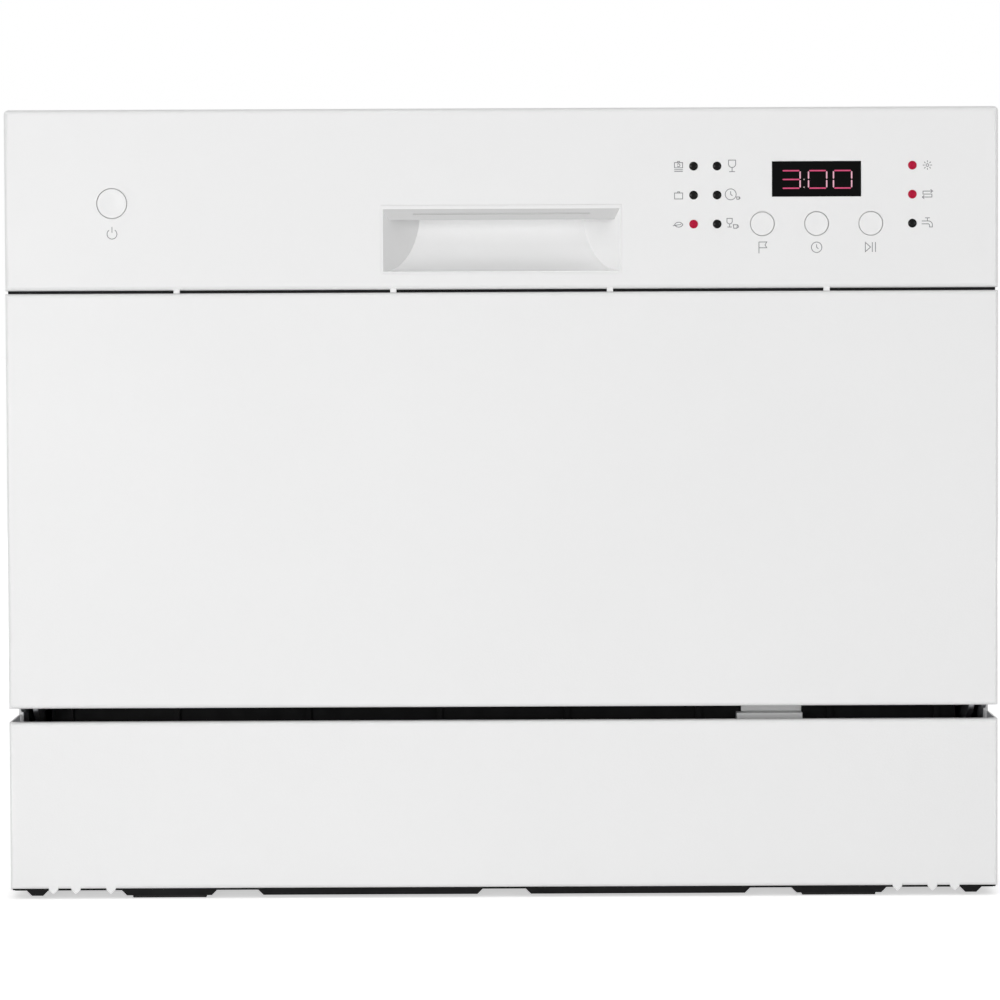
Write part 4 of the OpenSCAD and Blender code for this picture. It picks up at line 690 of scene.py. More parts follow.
class DISHWASHER_OT_rounded(bpy.types.Operator):
    """Rounds the edges of the moulded and pressed parts"""
    bl_idname = "dishwasher.rounded"
    bl_label = "Rounded edges"

    def execute(self, context):
        # Painted light and shade: the recess's material is a lighter copy of the white plastic, darkened face
        # by face by the shade attribute.
        recess = Finish("recess_painted_light_and_shade", settings()[0].recess, 0.42).vary_roughness(40, 0.05)
        recess.bump(1600, 0.00004, 0.3).shade_by("shade")
        for node, radius in EDGE_ROUNDING.items():
            piece = rounded_copy(node, radius)
            if node == "console":
                low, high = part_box("handle_recess")
                room = SPARED_ROOM
                spare_edges(piece.data, (low.x - room, FACE_Y - room, low.z - room),
                            (high.x + room, FACE_Y + room, GRIP_TOP + SPARED_ABOVE))
                piece.modifiers["edges"].limit_method = "WEIGHT"
            if node == "handle_recess":
                lower_lip(piece.data)
                # Painted shade on the recess's left end wall, lip and seam.
                paint_recess_shade(piece.data)
                piece.data.materials[0] = recess.material
        return {"FINISHED"}


# ---- console: display, lenses, buttons and printed symbols ------------------------------------

# Segments of a digit, lettered as on any seven-segment display, for each figure shown, and those that are
# level and glow in another tone than the upright ones.
SEGMENTS = {"0": "abcdef", "3": "abcdg"}
LEVEL_SEGMENTS = "adg"
# The figures shown and how far each one's left side is from the middle of the window.
FIGURES = (("3", -0.0195), ("0", -0.0048), ("0", 0.0090))
# How far the digits' middle is below the window's.
DIGITS_DROP = 0.0003
# The colon's place beside the window's middle, and the heights of its two dots above it.
COLON_X = -0.0069
COLON_RISES = (-0.0003, -0.0046)
COLON_TINT = (0.75, 0.6, 0.6)
# How far the window's face is behind the front of its box, and how wide the flange round it is at the sides,
# below and above.
PANE_INSET = 0.0003
FLANGE_SIDE, FLANGE_BELOW, FLANGE_ABOVE = 0.002, 0.0012, 0.002
# How far the lit segments stand out of the window's face.
LIT_RISE = 0.00004


def segment_bar(start, end, width, front, back):
    """One segment: a bar between two points in X and Z whose ends come to a point, as a flat hexagon."""
    start, end = np.asarray(start, float), np.asarray(end, float)
    along = (end - start) / np.linalg.norm(end - start)
    side = np.array([-along[1], along[0]]) * width / 2
    tip = along * width / 2
    return prism([start, start + tip + side, end - tip + side, end, end - tip - side, start + tip - side],
                 front, back)


def digit(figure, left, bottom, width, height, thick, front, back):
    """The lit segments of one figure with their letters, a little apart from each other at the corners."""
    gap = thick * 0.35
    x = [left + thick / 2, left + width - thick / 2]
    z = [bottom + thick / 2, bottom + height / 2, bottom + height - thick / 2]
    ends = {
        "a": ((x[0] + gap, z[2]), (x[1] - gap, z[2])), "g": ((x[0] + gap, z[1]), (x[1] - gap, z[1])),
        "d": ((x[0] + gap, z[0]), (x[1] - gap, z[0])), "f": ((x[0], z[1] + gap), (x[0], z[2] - gap)),
        "b": ((x[1], z[1] + gap), (x[1], z[2] - gap)), "e": ((x[0], z[0] + gap), (x[0], z[1] - gap)),
        "c": ((x[1], z[0] + gap), (x[1], z[1] - gap)),
    }
    return [(letter, segment_bar(*ends[letter], thick, front, back)) for letter in SEGMENTS[figure]]


class DISHWASHER_OT_display(bpy.types.Operator):
    """Builds the smoked window with its lit clock digits"""
    bl_idname = "dishwasher.display"
    bl_label = "Display"

    def execute(self, context):
        tint, size, _ = settings()
        low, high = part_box("display_window")
        front = low.y + PANE_INSET
        wall = low.y + SHELL_WALL
        x = (low.x + FLANGE_SIDE, high.x - FLANGE_SIDE)
        z = (low.z + FLANGE_BELOW, high.z - FLANGE_ABOVE)
        window = add_piece("display_pane", "door", finish_of("window_black"), [
            prism(round_outline(x, z, size.window_edge), front, wall, 0.0002),
            prism(round_outline((low.x, high.x), (low.z, high.z), size.window_edge), wall, high.y),
        ])
        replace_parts(window, "display_window")
        lit = front - LIT_RISE
        centre = ((x[0] + x[1]) / 2, (z[0] + z[1]) / 2)
        bottom = centre[1] - size.digit_height / 2 - DIGITS_DROP
        level, uprights = [], []
        for figure, left in FIGURES:
            for letter, bar in digit(figure, centre[0] + left, bottom, size.digit_width,
                                     size.digit_height, size.segment, lit, front):
                (level if letter in LEVEL_SEGMENTS else uprights).append(bar)
        rose, blush = glowing("lit_rose", tint.rose, 1.0), glowing("lit_blush", tint.blush, 1.0)
        add_piece("display_digits", "door", rose, level)
        add_piece("display_uprights", "door", blush, uprights)
        dot = size.segment * 0.55
        section = [(dot * 0.1, lit), (dot, lit + 0.00001), (dot, front), (dot * 0.1, front)]
        colon = [turned(section, (centre[0] + COLON_X, 0, centre[1] + rise), 12) for rise in COLON_RISES]
        add_piece("display_colon", "door", glowing("lit_pale", COLON_TINT, 0.6), colon)
        return {"FINISHED"}


# Radius of a lens, and of its foot behind the console's wall.
LENS_RADIUS = 0.0024
LENS_FOOT = 0.0034
# Distance between the two columns of lenses left of the display.
LENS_PITCH = 0.013
# The column and the row of each lens that is lit.
LIT_LENSES = {(0, 2), (2, 0), (2, 1)}


def lens_places():
    """Middles of the nine lenses: two columns at the left end of the lenses' box and one at its right end,
    and three rows over the box's height."""
    low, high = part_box("led_lenses")
    columns = [low.x + LENS_FOOT, low.x + LENS_FOOT + LENS_PITCH, high.x - LENS_FOOT]
    rows = np.linspace(high.z - LENS_FOOT, low.z + LENS_FOOT, 3)
    return columns, rows


def lens(x, z, radius, dome):
    """A round lens: a shallow dome, a straight skirt and a wider foot behind the console's wall."""
    low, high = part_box("led_lenses")
    wall = low.y + SHELL_WALL
    pole = 0.06
    profile = [(radius * b, low.y + 0.0001 + dome * b * b) for b in np.linspace(pole, 1, 7)]
    profile += [(radius, wall), (LENS_FOOT, wall), (LENS_FOOT, high.y), (radius * pole, high.y)]
    return turned(profile, (x, 0, z), 32)


class DISHWASHER_OT_lenses(bpy.types.Operator):
    """Builds the round indicator lenses, three of them lit"""
    bl_idname = "dishwasher.lenses"
    bl_label = "Indicator lenses"

    def execute(self, context):
        tint, size, _ = settings()
        columns, rows = lens_places()
        dark, lit = [], []
        for i, x in enumerate(columns):
            for k, z in enumerate(rows):
                made = lens(x, z, LENS_RADIUS, size.lens_dome)
                (lit if (i, k) in LIT_LENSES else dark).append(made)
        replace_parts(add_piece("lenses_dark", "door", finish_of("lens"), dark), "led_lenses")
        red = glowing("lit_red", tint.lit, 1.0)
        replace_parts(add_piece("lenses_lit", "door", red, lit), "led_lenses")
        return {"FINISHED"}


# Width of the flange behind the console's wall round a button's cap, and how far behind the wall its front,
# its back and the end of the skirt are. The stem's radius, and that of the flat discs that close the ends.
BUTTON_FLANGE = 0.0013
FLANGE_FRONT, FLANGE_BACK, SKIRT_END = 0.0003, 0.0015, 0.002
STEM_RADIUS = 0.0022
POLE_RADIUS = 0.0002


def button_piece(node, size):
    """A push button turned about its axis: a face with a shallow dish, a rounded edge, a skirt, a flange and
    a stem, whose radii and depths come from the node's box."""
    low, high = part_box(node)
    centre = middle(node)
    flange = (high.x - low.x) / 2
    radius = flange - BUTTON_FLANGE
    edge = size.button_edge
    dish = [(radius * b * 0.8, low.y + 0.00005 + size.button_dish * (1 - b * b))
            for b in np.linspace(0.03, 1, 8)]
    rim = [(radius - edge + edge * math.sin(a), low.y + edge * (1 - math.cos(a)))
           for a in np.linspace(0, math.pi / 2, 6)]
    front, back, end = (low.y + SHELL_WALL + depth for depth in (FLANGE_FRONT, FLANGE_BACK, SKIRT_END))
    rest = [(radius, front), (flange, front), (flange, back), (radius, back),
            (radius, end), (STEM_RADIUS, end), (STEM_RADIUS, high.y), (POLE_RADIUS, high.y)]
    return add_piece(node.replace("button_", "cap_"), BODY_OF[node],
                     finish_of(SLOT_OF[node]), [turned(dish + rim + rest, centre, 72)])


class DISHWASHER_OT_buttons(bpy.types.Operator):
    """Builds the four push buttons"""
    bl_idname = "dishwasher.buttons"
    bl_label = "Buttons"

    def execute(self, context):
        for node in ("button_power", "button_program", "button_delay", "button_start"):
            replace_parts(button_piece(node, settings()[1]), node)
        return {"FINISHED"}


# Each symbol is a list of (points, closed) strokes, about in a square from -1 to 1.

def line(*points):
    return np.array(points, float)


def placed(strokes, scale, at):
    """Strokes that are scaled about the middle and then moved."""
    return [(points * scale + np.array(at), closed) for points, closed in strokes]


def symbol_pot(lines_below):
    """A pot with a knob on its lid; for a heavy programme it has a ring on it and stands on two lines."""
    base = -0.35 if lines_below else -0.8
    top = 0.75 if lines_below else 0.45
    strokes = [(line((-0.85, base), (0.85, base), (0.85, top), (-0.85, top)), True),
               (line((-0.2, top), (-0.2, top + 0.25), (0.2, top + 0.25), (0.2, top)), False)]
    if lines_below:
        strokes.append((line((-0.9, -0.75), (0.9, -0.75)), False))
        strokes.append((line((-0.9, -1.1), (0.9, -1.1)), False))
        strokes.append((arc((0, 0.2), 0.3, 200, 520, 14), False))
    return strokes


def symbol_leaf():
    """A leaf: two arcs that meet at its tips, and a middle rib with a stalk."""
    upper = arc((0.0, -0.65), 1.05, 150, 30, 14)
    lower = arc((0.0, 0.4), 1.05, -150, -30, 14)
    return [(upper, False), (lower, False), (line((-1.25, -0.35), (0.55, -0.05)), False)]


def symbol_glass(scale=1.0, at=(0, 0)):
    """A stemmed glass: a bowl, a stem and a foot."""
    bowl = np.concatenate([line((-0.6, 1.0)), arc((0, 0.35), 0.62, 180, 360, 12), line((0.6, 1.0))])
    strokes = [(bowl, True), (line((0, -0.27), (0, -0.95)), False),
               (line((-0.5, -0.98), (0.5, -0.98)), False)]
    return placed(strokes, scale, at)


def symbol_clock(scale=1.0, at=(0, 0)):
    """A dial with two hands."""
    strokes = [(arc((0, 0), 0.9, 90, 450, 32)[:-1], True),
               (line((0, 0.5), (0, 0.0), (0.3, -0.25)), False)]
    return placed(strokes, scale, at)


def symbol_cup(scale=1.0, at=(0, 0)):
    """A cup with an ear."""
    strokes = [(line((-0.6, 0.5), (-0.45, -0.5), (0.45, -0.5), (0.6, 0.5)), True),
               (arc((0.55, 0.0), 0.35, 80, -80, 8), False)]
    return placed(strokes, scale, at)


def symbol_star():
    """Eight rays round a small ring."""
    turns = np.radians(np.arange(0, 360, 45))
    rays = [(np.outer((0.5, 0.85), (math.cos(a), math.sin(a))), False) for a in turns]
    return [(arc((0, 0), 0.25, 0, 360, 12)[:-1], True)] + rays


def symbol_salt():
    """A line bent to and fro that ends in an arrow at the right above and at the left below."""
    return [(line((1.0, 0.6), (-0.9, 0.6), (-0.9, 0.0), (0.9, 0.0), (0.9, -0.6), (-1.0, -0.6)), False),
            (line((0.65, 0.95), (1.05, 0.6), (0.65, 0.25)), False),
            (line((-0.65, -0.95), (-1.05, -0.6), (-0.65, -0.25)), False)]


def symbol_tap():
    """A tap: a handle, a neck and a spout that turns down."""
    return [(line((-0.45, 1.0), (0.45, 1.0)), False), (line((0, 1.0), (0, 0.45)), False),
            (np.concatenate([line((-1.1, 0.4), (0.2, 0.4)), arc((0.2, -0.35), 0.75, 90, 0, 10)]), False),
            (np.concatenate([line((-1.1, -0.15), (0.1, -0.15)), arc((0.1, -0.45), 0.3, 90, 0, 6)]), False),
            (line((0.4, -0.45), (0.4, -0.75), (0.95, -0.75), (0.95, -0.35)), False)]


def symbol_power():
    """An open ring with an upright line."""
    return [(arc((0, -0.15), 0.85, 125, 415, 32), False), (line((0, 1.1), (0, 0.1)), False)]


def symbol_flag():
    """A flag on its staff, for the choice of a programme."""
    return [(line((-0.6, -1.0), (-0.6, 1.0)), False),
            (line((-0.6, 0.95), (0.75, 0.95), (0.45, 0.45), (0.75, -0.05), (-0.6, -0.05)), False)]


def symbol_start():
    """A triangle and two bars."""
    return [(line((-0.95, 0.8), (-0.05, 0.0), (-0.95, -0.8)), True),
            (line((0.25, 0.85), (0.25, -0.85)), False), (line((0.8, 0.85), (0.8, -0.85)), False)]


# Distance from a lens to the symbol beside it, and from a button down to the symbol under it.
SYMBOL_BESIDE = 0.0083
SYMBOL_UNDER = 0.0131
SYMBOL_UNDER_POWER = 0.0164


def printed_symbols():
    """Each symbol's name, strokes, middle in X and Z and half height. The symbols stand beside their lens or
    under their button."""
    columns, rows = lens_places()
    half = settings()[1].symbol / 2
    glass_and_cup = symbol_glass(0.75, (-0.45, 0.2)) + symbol_cup(0.6, (0.55, -0.45))
    clock_and_cup = symbol_clock(1.05, (-0.25, 0.1)) + symbol_cup(0.4, (1.0, -0.55))
    beside_lens = (
        (("heavy", symbol_pot(True), 0.82), ("normal", symbol_pot(False), 0.82),
         ("saving", symbol_leaf(), 0.8)),
        (("glass", symbol_glass(), 1), ("rapid", clock_and_cup, 1), ("party", glass_and_cup, 1)),
        (("rinse_aid", symbol_star(), 0.95), ("salt", symbol_salt(), 0.85), ("tap", symbol_tap(), 0.9)),
    )
    made = []
    for side, column, symbols in zip((-1, 1, 1), columns, beside_lens):
        for row, (name, strokes, size) in zip(rows, symbols):
            made.append(("symbol_" + name, strokes, (column + side * SYMBOL_BESIDE, row), half * size))
    under_button = {"program": symbol_flag(), "delay": symbol_clock(), "start": symbol_start(),
                    "power": symbol_power()}
    for name, strokes in under_button.items():
        centre = middle("button_" + name)
        drop = SYMBOL_UNDER_POWER if name == "power" else SYMBOL_UNDER
        made.append(("symbol_" + name, strokes, (centre.x, centre.z - drop), half))
    return made


class DISHWASHER_OT_symbols(bpy.types.Operator):
    """Prints the grey symbols on the console"""
    bl_idname = "dishwasher.symbols"
    bl_label = "Printed symbols"

    def execute(self, context):
        tint, size, _ = settings()
        ink = Finish("printed_ink", tint.print_grey, 0.5)
        ink.vary_roughness(400, 0.08).vary_colour(300, 0.2).bump(2500, 0.00001, 0.4)
        front, back = FACE_Y - size.print_rise, FACE_Y + size.print_rise
        for name, strokes, (x, z), half in printed_symbols():
            parts = [stroke(points * half + np.array((x, z)), size.print_width, front, back, closed)
                     for points, closed in strokes]
            add_piece(name, "door", ink.material, parts)
        return {"FINISHED"}


# ---- cabinet and rack ---------------------------------------------------------------------------

# Radius of the springs' coils and of the hooks at their ends, the number of turns, and how far a spring's
# middle line is from the outer side of its box.
COIL_RADIUS = 0.0045
HOOK_RADIUS = 0.004
COIL_TURNS = 24
COIL_INSET = 0.0054


def spring_path(a, b, radius, turns, steps=14):
    """A helix round the line from a to b: its radius is constant, and half a turn at each end leads its wire
    to the middle line."""
    direction = unit(b - a)
    third = np.cross(direction, ACROSS)
    t = np.linspace(0, 1, turns * steps + 1)
    grow = radius * np.clip(np.minimum(t, 1 - t) * turns * 2, 0, 1)
    angle = TAU * turns * t
    return (a + np.outer(t * np.linalg.norm(b - a), direction)
            + (grow * np.cos(angle))[:, None] * ACROSS + (grow * np.sin(angle))[:, None] * third)


class DISHWASHER_OT_springs(bpy.types.Operator):
    """Winds the two springs that balance the door"""
    bl_idname = "dishwasher.springs"
    bl_label = "Hinge springs"

    def execute(self, context):
        low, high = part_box("hinge_springs")
        wire = settings()[1].spring_wire / 2
        x, room = high.x - COIL_INSET, HOOK_RADIUS + wire
        a = np.array((x, low.y + room, high.z - room))
        b = np.array((x, high.y - room, low.z + room))
        direction = unit(b - a)
        third = np.cross(direction, ACROSS)
        turn = np.linspace(0, TAU, 22)[:-1]
        ring = HOOK_RADIUS * (np.outer(np.cos(turn), direction) + np.outer(np.sin(turn), third))
        coil = spring_path(a + direction * HOOK_RADIUS, b - direction * HOOK_RADIUS, COIL_RADIUS, COIL_TURNS)
        for name, side in (("spring_left", -1), ("spring_right", 1)):
            mirror = np.array((side, 1.0, 1.0))
            parts = [tube(coil * mirror, wire, direction, 8)]
            parts += [tube((end + ring) * mirror, wire, ACROSS, 8, closed=True) for end in (a, b)]
            spring = add_piece(name, None, finish_of("spring_steel"), parts)
            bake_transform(spring)
            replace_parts(spring, "hinge_springs")
        return {"FINISHED"}


class RackPlan:
    """Sizes of the rack's wires, and their places, worked out from the boxes of its parts."""

    def __init__(self):
        low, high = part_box("rack_frame")
        # Radii of the wires, the rim, the thin wires and the collars' outsides.
        self.wire, self.rim, self.thin, self.clip = 0.0018, 0.0025, 0.0015, 0.0044
        # Half the rack's width at its side wires, and the bend of the rim's corners.
        self.side = 0.205
        self.corner = 0.016
        # Heights of the rim and the bottom wires, the rear wires' place, and those of the leaning front
        # wires at the rim and at the bottom.
        self.rim_z = high.z - self.rim
        self.bottom = self.rim_z - 0.110
        self.rear = high.y - self.rim
        self.lean = low.y + self.rim
        self.front = self.lean + 0.028
        # Six wires across the rack and eleven along it, which lie on them and sink in a little.
        inset = 0.012
        span = self.rear - self.front - 2 * inset
        self.cross_y = self.front + inset + np.arange(6) * span / 5
        self.long_x = np.arange(-5, 6) * 0.036
        self.long_z = self.bottom + 2 * self.wire - 0.0004
        # The wire that the folding tines stand on, their places and height, and what it reaches past them.
        self.fold_y = self.cross_y[2] + 0.034
        self.fold_z = self.long_z + 0.0048
        self.tine_x = (np.arange(8) - 3.5) * 0.024
        self.tine = 0.072 + 0.0012
        self.fold_past = 0.006
        # The wheels' axles, and the cup shelf's hinge wire.
        self.axle_end = high.x
        self.axle_z = middle("wheels_front").z
        self.shelf_x = self.clip + 0.001 - self.side
        self.shelf_z = self.rim_z - 0.010


def upright(x, y, z, height, radius):
    """A tine: a straight wire whose coating ends in a round drop, a little thicker than the wire."""
    rise = np.array((0, 0.5, 0.93, 0.95, 0.97, 0.985, 0.995, 1.0))
    swell = np.array((1, 1, 1, 1.18, 1.3, 1.2, 0.85, 0.3))
    path = np.array((x, y, z)) + np.outer(rise * height, (0, 0, 1))
    return tube(path, radius * swell, ACROSS, 12)


# Half a collar's length, the room between it and the wire that turns in it, and the places of the folding
# tines' three collars.
COLLAR_HALF = 0.0025
COLLAR_ROOM = 0.00006
COLLAR_X = (-0.072, 0, 0.072)
# Half the width and the rounding of the plates that hold the axles, and how far they reach inwards and
# outwards from the rack's side wires. The axles' radius, and the cut round their tips.
PLATE_HALF = 0.007
PLATE_ROUND = 0.003
PLATE_INWARDS, PLATE_OUTWARDS = 0.002, 0.003
AXLE_RADIUS = 0.0022
AXLE_CUT = 0.0006


def rack_fittings(plan):
    """The rack's moulded collars, which hold the folding tines and the cup shelf, and on each side the two
    plates with the axles of the wheels."""
    bore = plan.wire + COLLAR_ROOM
    parts = [along_x(collar((plan.fold_y, x, plan.fold_z), COLLAR_HALF, plan.clip, bore)) for x in COLLAR_X]
    parts += [collar((plan.shelf_x, y, plan.shelf_z), COLLAR_HALF, plan.clip, bore)
              for y in plan.cross_y[[1, 3]]]
    for side in (-1, 1):
        faces = sorted((side * (plan.side - PLATE_INWARDS), side * (plan.side + PLATE_OUTWARDS)))
        tip = side * plan.axle_end
        axle = [(AXLE_RADIUS, side * plan.side), (AXLE_RADIUS, tip - side * AXLE_CUT),
                (AXLE_RADIUS - AXLE_CUT, tip)]
        for y in plan.cross_y[[0, 4]]:
            plate = round_outline((y - PLATE_HALF, y + PLATE_HALF),
                                  (plan.bottom - plan.wire, plan.axle_z + PLATE_HALF), PLATE_ROUND)
            parts.append(along_x(prism(plate, *faces)))
            parts.append(along_x(turned(axle, (y, 0, plan.axle_z), 24)))
    return parts


def cup_wires(plan):
    """The cup shelf: two long wires with round ends and eight thinner wires across them."""
    low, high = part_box("cup_shelf")
    x = (plan.shelf_x, high.x - plan.wire)
    along = np.array((0, 0.003, 0.01, 0.99, 0.997, 1))
    swell = np.array((0.4, 0.8, 1, 1, 0.8, 0.4))

    def wire(start, end, radius):
        ends = np.array((*start, plan.shelf_z)), np.array((*end, plan.shelf_z))
        return tube(ends[0] + along[:, None] * (ends[1] - ends[0]), radius * swell, (0, 0, 1), 12)

    pitch = (plan.cross_y[1] - plan.cross_y[0]) / 2
    across = plan.cross_y[0] + (np.arange(8) + 0.5) * pitch
    return ([wire((edge, low.y), (edge, high.y), plan.wire) for edge in x]
            + [wire((x[0], y), (x[1], y), plan.thin) for y in across])


class DISHWASHER_OT_rack(bpy.types.Operator):
    """Bends the coated wires of the rack, its folding tines and its cup shelf"""
    bl_idname = "dishwasher.rack"
    bl_label = "Rack"

    def execute(self, context):
        bend = settings()[1].wire_bend
        plan = RackPlan()
        s, bottom, top = plan.side, plan.bottom, plan.rim_z
        across = [[(-s, y, top), (-s, y, bottom), (s, y, bottom), (s, y, top)] for y in plan.cross_y]
        along = [[(x, plan.lean, top), (x, plan.front, plan.long_z), (x, plan.rear, plan.long_z),
                  (x, plan.rear, top)] for x in plan.long_x]
        wires = [tube(bent_path(corners, bend), plan.wire, (0, 1, 0)) for corners in across]
        wires += [tube(bent_path(corners, bend), plan.wire, ACROSS) for corners in along]
        rim = [(s, plan.rear, top), (-s, plan.rear, top), (-s, plan.lean, top), (s, plan.lean, top)]
        rim = bent_path(rim, plan.corner, 8, closed=True)
        wires.append(tube(rim, plan.rim, (0, 0, 1), 14, closed=True))
        wires += [upright(x, plan.cross_y[4], bottom, plan.tine, plan.thin) for x in plan.tine_x]
        fold = [upright(x, plan.fold_y, plan.fold_z, plan.tine, plan.thin) for x in plan.tine_x]
        ends = (plan.tine_x[0] - plan.fold_past, plan.tine_x[-1] + plan.fold_past)
        fold.append(tube([(x, plan.fold_y, plan.fold_z) for x in ends], plan.wire, (0, 0, 1)))
        for name, node, parts in (("rack_wires", "rack_frame", wires + rack_fittings(plan)),
                                  ("fold_tines", "plate_tines", fold),
                                  ("cup_wires", "cup_shelf", cup_wires(plan))):
            coating = finish_of("wire_coating")
            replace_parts(add_piece(name, BODY_OF[node], coating, parts), node)
        return {"FINISHED"}


# The seam under the console: its upper edge, the middles of the spacers that cross it and half the room
# that the strip leaves each, half the strip's length, the depth of its back behind the face and its rounding.
# The strip is a black sheet behind the seam: painted shade that darkens the gap.
SEAM_TOP = 0.338
SPACER_X = (-0.18, -0.06, 0.06, 0.18)
SPACER_HALF = 0.0018
SEAM_SHADE_HALF = 0.2735
SEAM_SHADE_BACK = 0.010
SEAM_SHADE_ROUND = 0.0002
SEAM_SHADE_ROOM = 0.00005


class DISHWASHER_OT_seam_shade_strip(bpy.types.Operator):
    """Lays a black strip behind the seam between the console and the door's panel: painted shade in the gap
    """
    bl_idname = "dishwasher.seal"
    bl_label = "Seam shade strip"

    def execute(self, context):
        # The black of this strip is painted shade for the gap under the console.
        z = (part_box("door_panel")[1].z + SEAM_SHADE_ROOM, SEAM_TOP - SEAM_SHADE_ROOM)
        ends = np.concatenate([[-SEAM_SHADE_HALF], np.repeat(SPACER_X, 2), [SEAM_SHADE_HALF]])
        ends[1:-1] += np.tile((-SPACER_HALF, SPACER_HALF), len(SPACER_X))
        parts = [prism(round_outline(x, z, SEAM_SHADE_ROUND), FACE_Y + SHELL_WALL, FACE_Y + SEAM_SHADE_BACK)
                 for x in ends.reshape(-1, 2)]
        add_piece("door_seam_shade_strip", "door", finish_of("black_plastic"), parts)
        return {"FINISHED"}


# ---- stage ----------------------------------------------------------------------------------------

# Each lamp's share of the key's power, its width, its height and its place.
LAMPS = {
    "key": (1, 1.4, 1.4, (-1.7, -3.9, 0.3)),
    "above": (0.1, 1.6, 1.0, (-0.9, -2.2, 1.9)),
    "fill": (0.28, 1.4, 1.0, (2.0, -3.0, 0.5)),
    "rear": (0.5, 2.0, 1.4, (0.6, 3.2, 1.4)),
    "low": (0.019, 1.2, 0.08, (-0.25, -1.15, 0.045)),
}
# Lamps whose mirror image would burn out a patch of a glossy surface.
UNMIRRORED = ("rear", "low")
SENSOR_WIDTH = 36
# Half the floor's width, and how far it lies below the feet.
FLOOR_HALF = 30.0
FLOOR_DROP = 0.0002


def seen_level(tree, unseen, seen, socket):
    """Gives a socket one level for the rays that reach the camera straight, by a mirror or through clear
    material, and another for the rays that only carry light."""
    path = tree.nodes.new("ShaderNodeLightPath")
    last = path.outputs["Is Camera Ray"]
    for name in ("Is Glossy Ray", "Is Transmission Ray"):
        either = tree.nodes.new("ShaderNodeMath")
        either.operation = "MAXIMUM"
        tree.links.new(last, either.inputs[0])
        tree.links.new(path.outputs[name], either.inputs[1])
        last = either.outputs[0]
    level = tree.nodes.new("ShaderNodeMapRange")
    level.inputs["To Min"].default_value = unseen
    level.inputs["To Max"].default_value = seen
    tree.links.new(last, level.inputs["Value"])
    tree.links.new(level.outputs["Result"], socket)


def stand(scene, name, data, place, turn):
    """An object of the stage, at a place and turned by a quaternion."""
    made = bpy.data.objects.new(name, data)
    scene.collection.objects.link(made)
    made.location = place
    made.rotation_mode = "QUATERNION"
    made.rotation_quaternion = turn
    return made


def aim_camera(scene, stage):
    """A camera that looks at the point on the door's face, tilted down by pitch and turned by roll, with a
    lens that fills the asked share of the picture's width."""
    view = bpy.data.cameras.new("camera")
    view.sensor_width = SENSOR_WIDTH
    view.lens = SENSOR_WIDTH * stage.fill * stage.distance / WIDTH
    aim = Vector((stage.aim_x, FACE_Y, stage.aim_z))
    back = Vector((0, -math.cos(stage.pitch), math.sin(stage.pitch)))
    turn = back.to_track_quat("Z", "Y") @ Matrix.Rotation(-stage.roll, 3, "Z").to_quaternion()
    scene.camera = stand(scene, "camera", view, aim + back * stage.distance, turn)


def light_world(scene, stage):
    """Even white light from all round, in front of a white backdrop."""
    world = bpy.data.worlds.new("daylight")
    scene.world = world
    world.use_nodes = True
    backdrop = world.node_tree.nodes["Background"]
    backdrop.inputs["Color"].default_value = (1, 1, 1, 1)
    seen_level(world.node_tree, stage.daylight, 1, backdrop.inputs["Strength"])


def hang_lamp(scene, name, power, width, height, place):
    """A lamp that faces the cabinet's middle line, level where it hangs lower than the cabinet's middle."""
    light = bpy.data.lights.new(name, "AREA")
    light.shape = "RECTANGLE"
    light.size, light.size_y = width, height
    light.energy = power
    target = Vector((0, 0, min(place[2], CAD_BOX[1][2] / 2)))
    held = stand(scene, name, light, place, (target - Vector(place)).to_track_quat("-Z", "Y"))
    held.visible_glossy = name not in UNMIRRORED


def lay_floor(scene, stage):
    """A wide white floor, which also glows by floor_lift where it is seen."""
    half, z = FLOOR_HALF, -FLOOR_DROP
    mesh = bpy.data.meshes.new("floor")
    mesh.from_pydata([(-half, -half, z), (half, -half, z), (half, half, z), (-half, half, z)], [],
                     [(0, 1, 2, 3)])
    floor = bpy.data.objects.new("floor", mesh)
    scene.collection.objects.link(floor)
    white = Finish("floor_paint", (stage.floor,) * 3, 0.9)
    white.vary_roughness(3, 0.05)
    white.shader.inputs["Emission Color"].default_value = (1, 1, 1, 1)
    seen_level(white.tree, 0, stage.floor_lift, white.shader.inputs["Emission Strength"])
    mesh.materials.append(white.material)


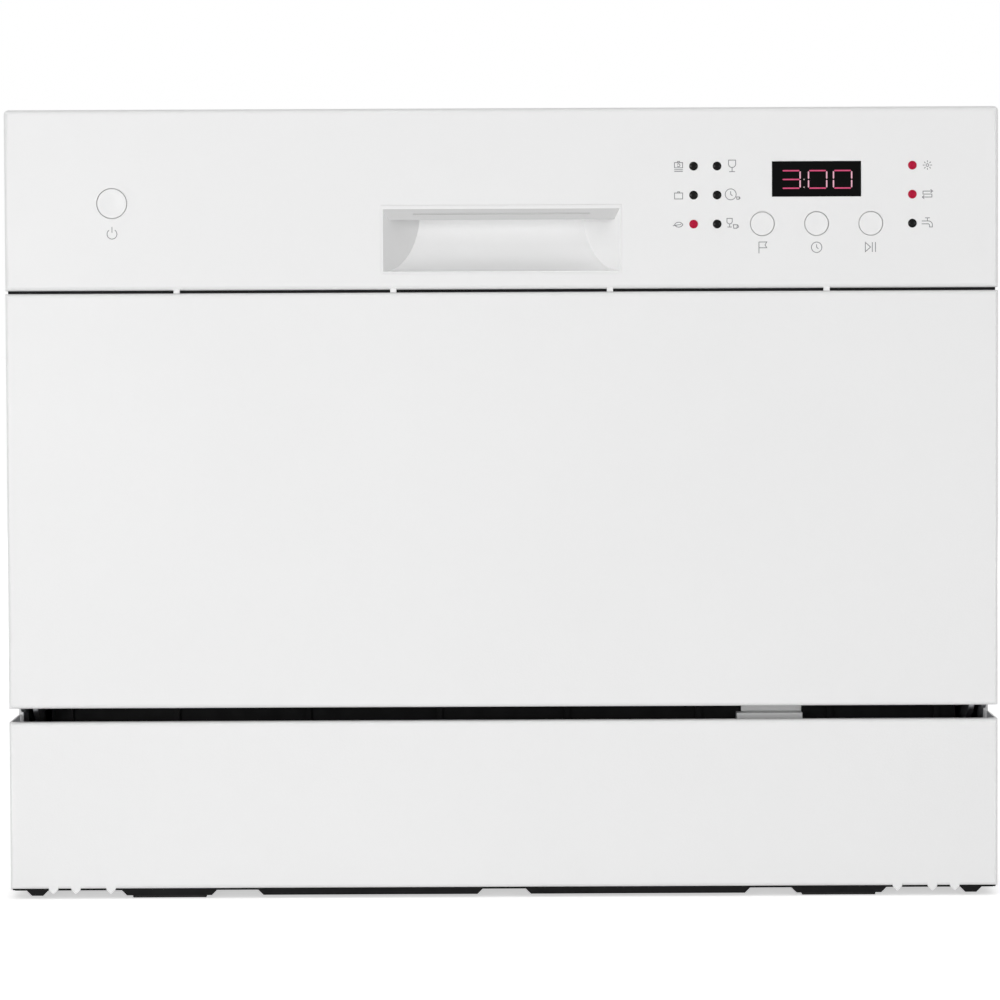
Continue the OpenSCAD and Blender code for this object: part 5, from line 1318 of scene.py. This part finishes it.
class DISHWASHER_OT_stage(bpy.types.Operator):
    """Sets the camera, the lamps and the floor"""
    bl_idname = "dishwasher.stage"
    bl_label = "Stage"

    def execute(self, context):
        stage, scene = settings()[2], context.scene
        scene.view_settings.view_transform = "Standard"
        aim_camera(scene, stage)
        light_world(scene, stage)
        for name, (part, width, height, place) in LAMPS.items():
            hang_lamp(scene, name, stage.key * part, width, height, place)
        lay_floor(scene, stage)
        return {"FINISHED"}


class DISHWASHER_PT_pieces(bpy.types.Panel):
    """Lists the steps that dress the dishwasher, and their sizes and colours"""
    bl_idname = "DISHWASHER_PT_pieces"
    bl_label = "Dishwasher"
    bl_space_type = "VIEW_3D"
    bl_region_type = "UI"
    bl_category = "Dishwasher"

    def draw(self, context):
        column = self.layout.column()
        for operator in OPERATORS:
            column.operator(operator.bl_idname, text=operator.bl_label)
        for group in settings():
            box = self.layout.box()
            for name in group.__annotations__:
                box.prop(group, name)


OPERATORS = (
    DISHWASHER_OT_finishes, DISHWASHER_OT_rounded, DISHWASHER_OT_display, DISHWASHER_OT_lenses,
    DISHWASHER_OT_buttons, DISHWASHER_OT_symbols, DISHWASHER_OT_seam_shade_strip, DISHWASHER_OT_springs,
    DISHWASHER_OT_rack, DISHWASHER_OT_stage,
)
GROUPS = (DISHWASHER_PG_colours, DISHWASHER_PG_sizes, DISHWASHER_PG_stage)


def register():
    for made in GROUPS + OPERATORS + (DISHWASHER_PT_pieces,):
        bpy.utils.register_class(made)
    bpy.types.Scene.dishwasher_colours = bpy.props.PointerProperty(type=DISHWASHER_PG_colours)
    bpy.types.Scene.dishwasher_sizes = bpy.props.PointerProperty(type=DISHWASHER_PG_sizes)
    bpy.types.Scene.dishwasher_stage = bpy.props.PointerProperty(type=DISHWASHER_PG_stage)


def unregister():
    del bpy.types.Scene.dishwasher_stage
    del bpy.types.Scene.dishwasher_sizes
    del bpy.types.Scene.dishwasher_colours
    for made in reversed(GROUPS + OPERATORS + (DISHWASHER_PT_pieces,)):
        bpy.utils.unregister_class(made)


def main():
    register()
    for operator in OPERATORS:
        group, name = operator.bl_idname.split(".")
        getattr(getattr(bpy.ops, group), name)()


if __name__ == "__main__":
    main()
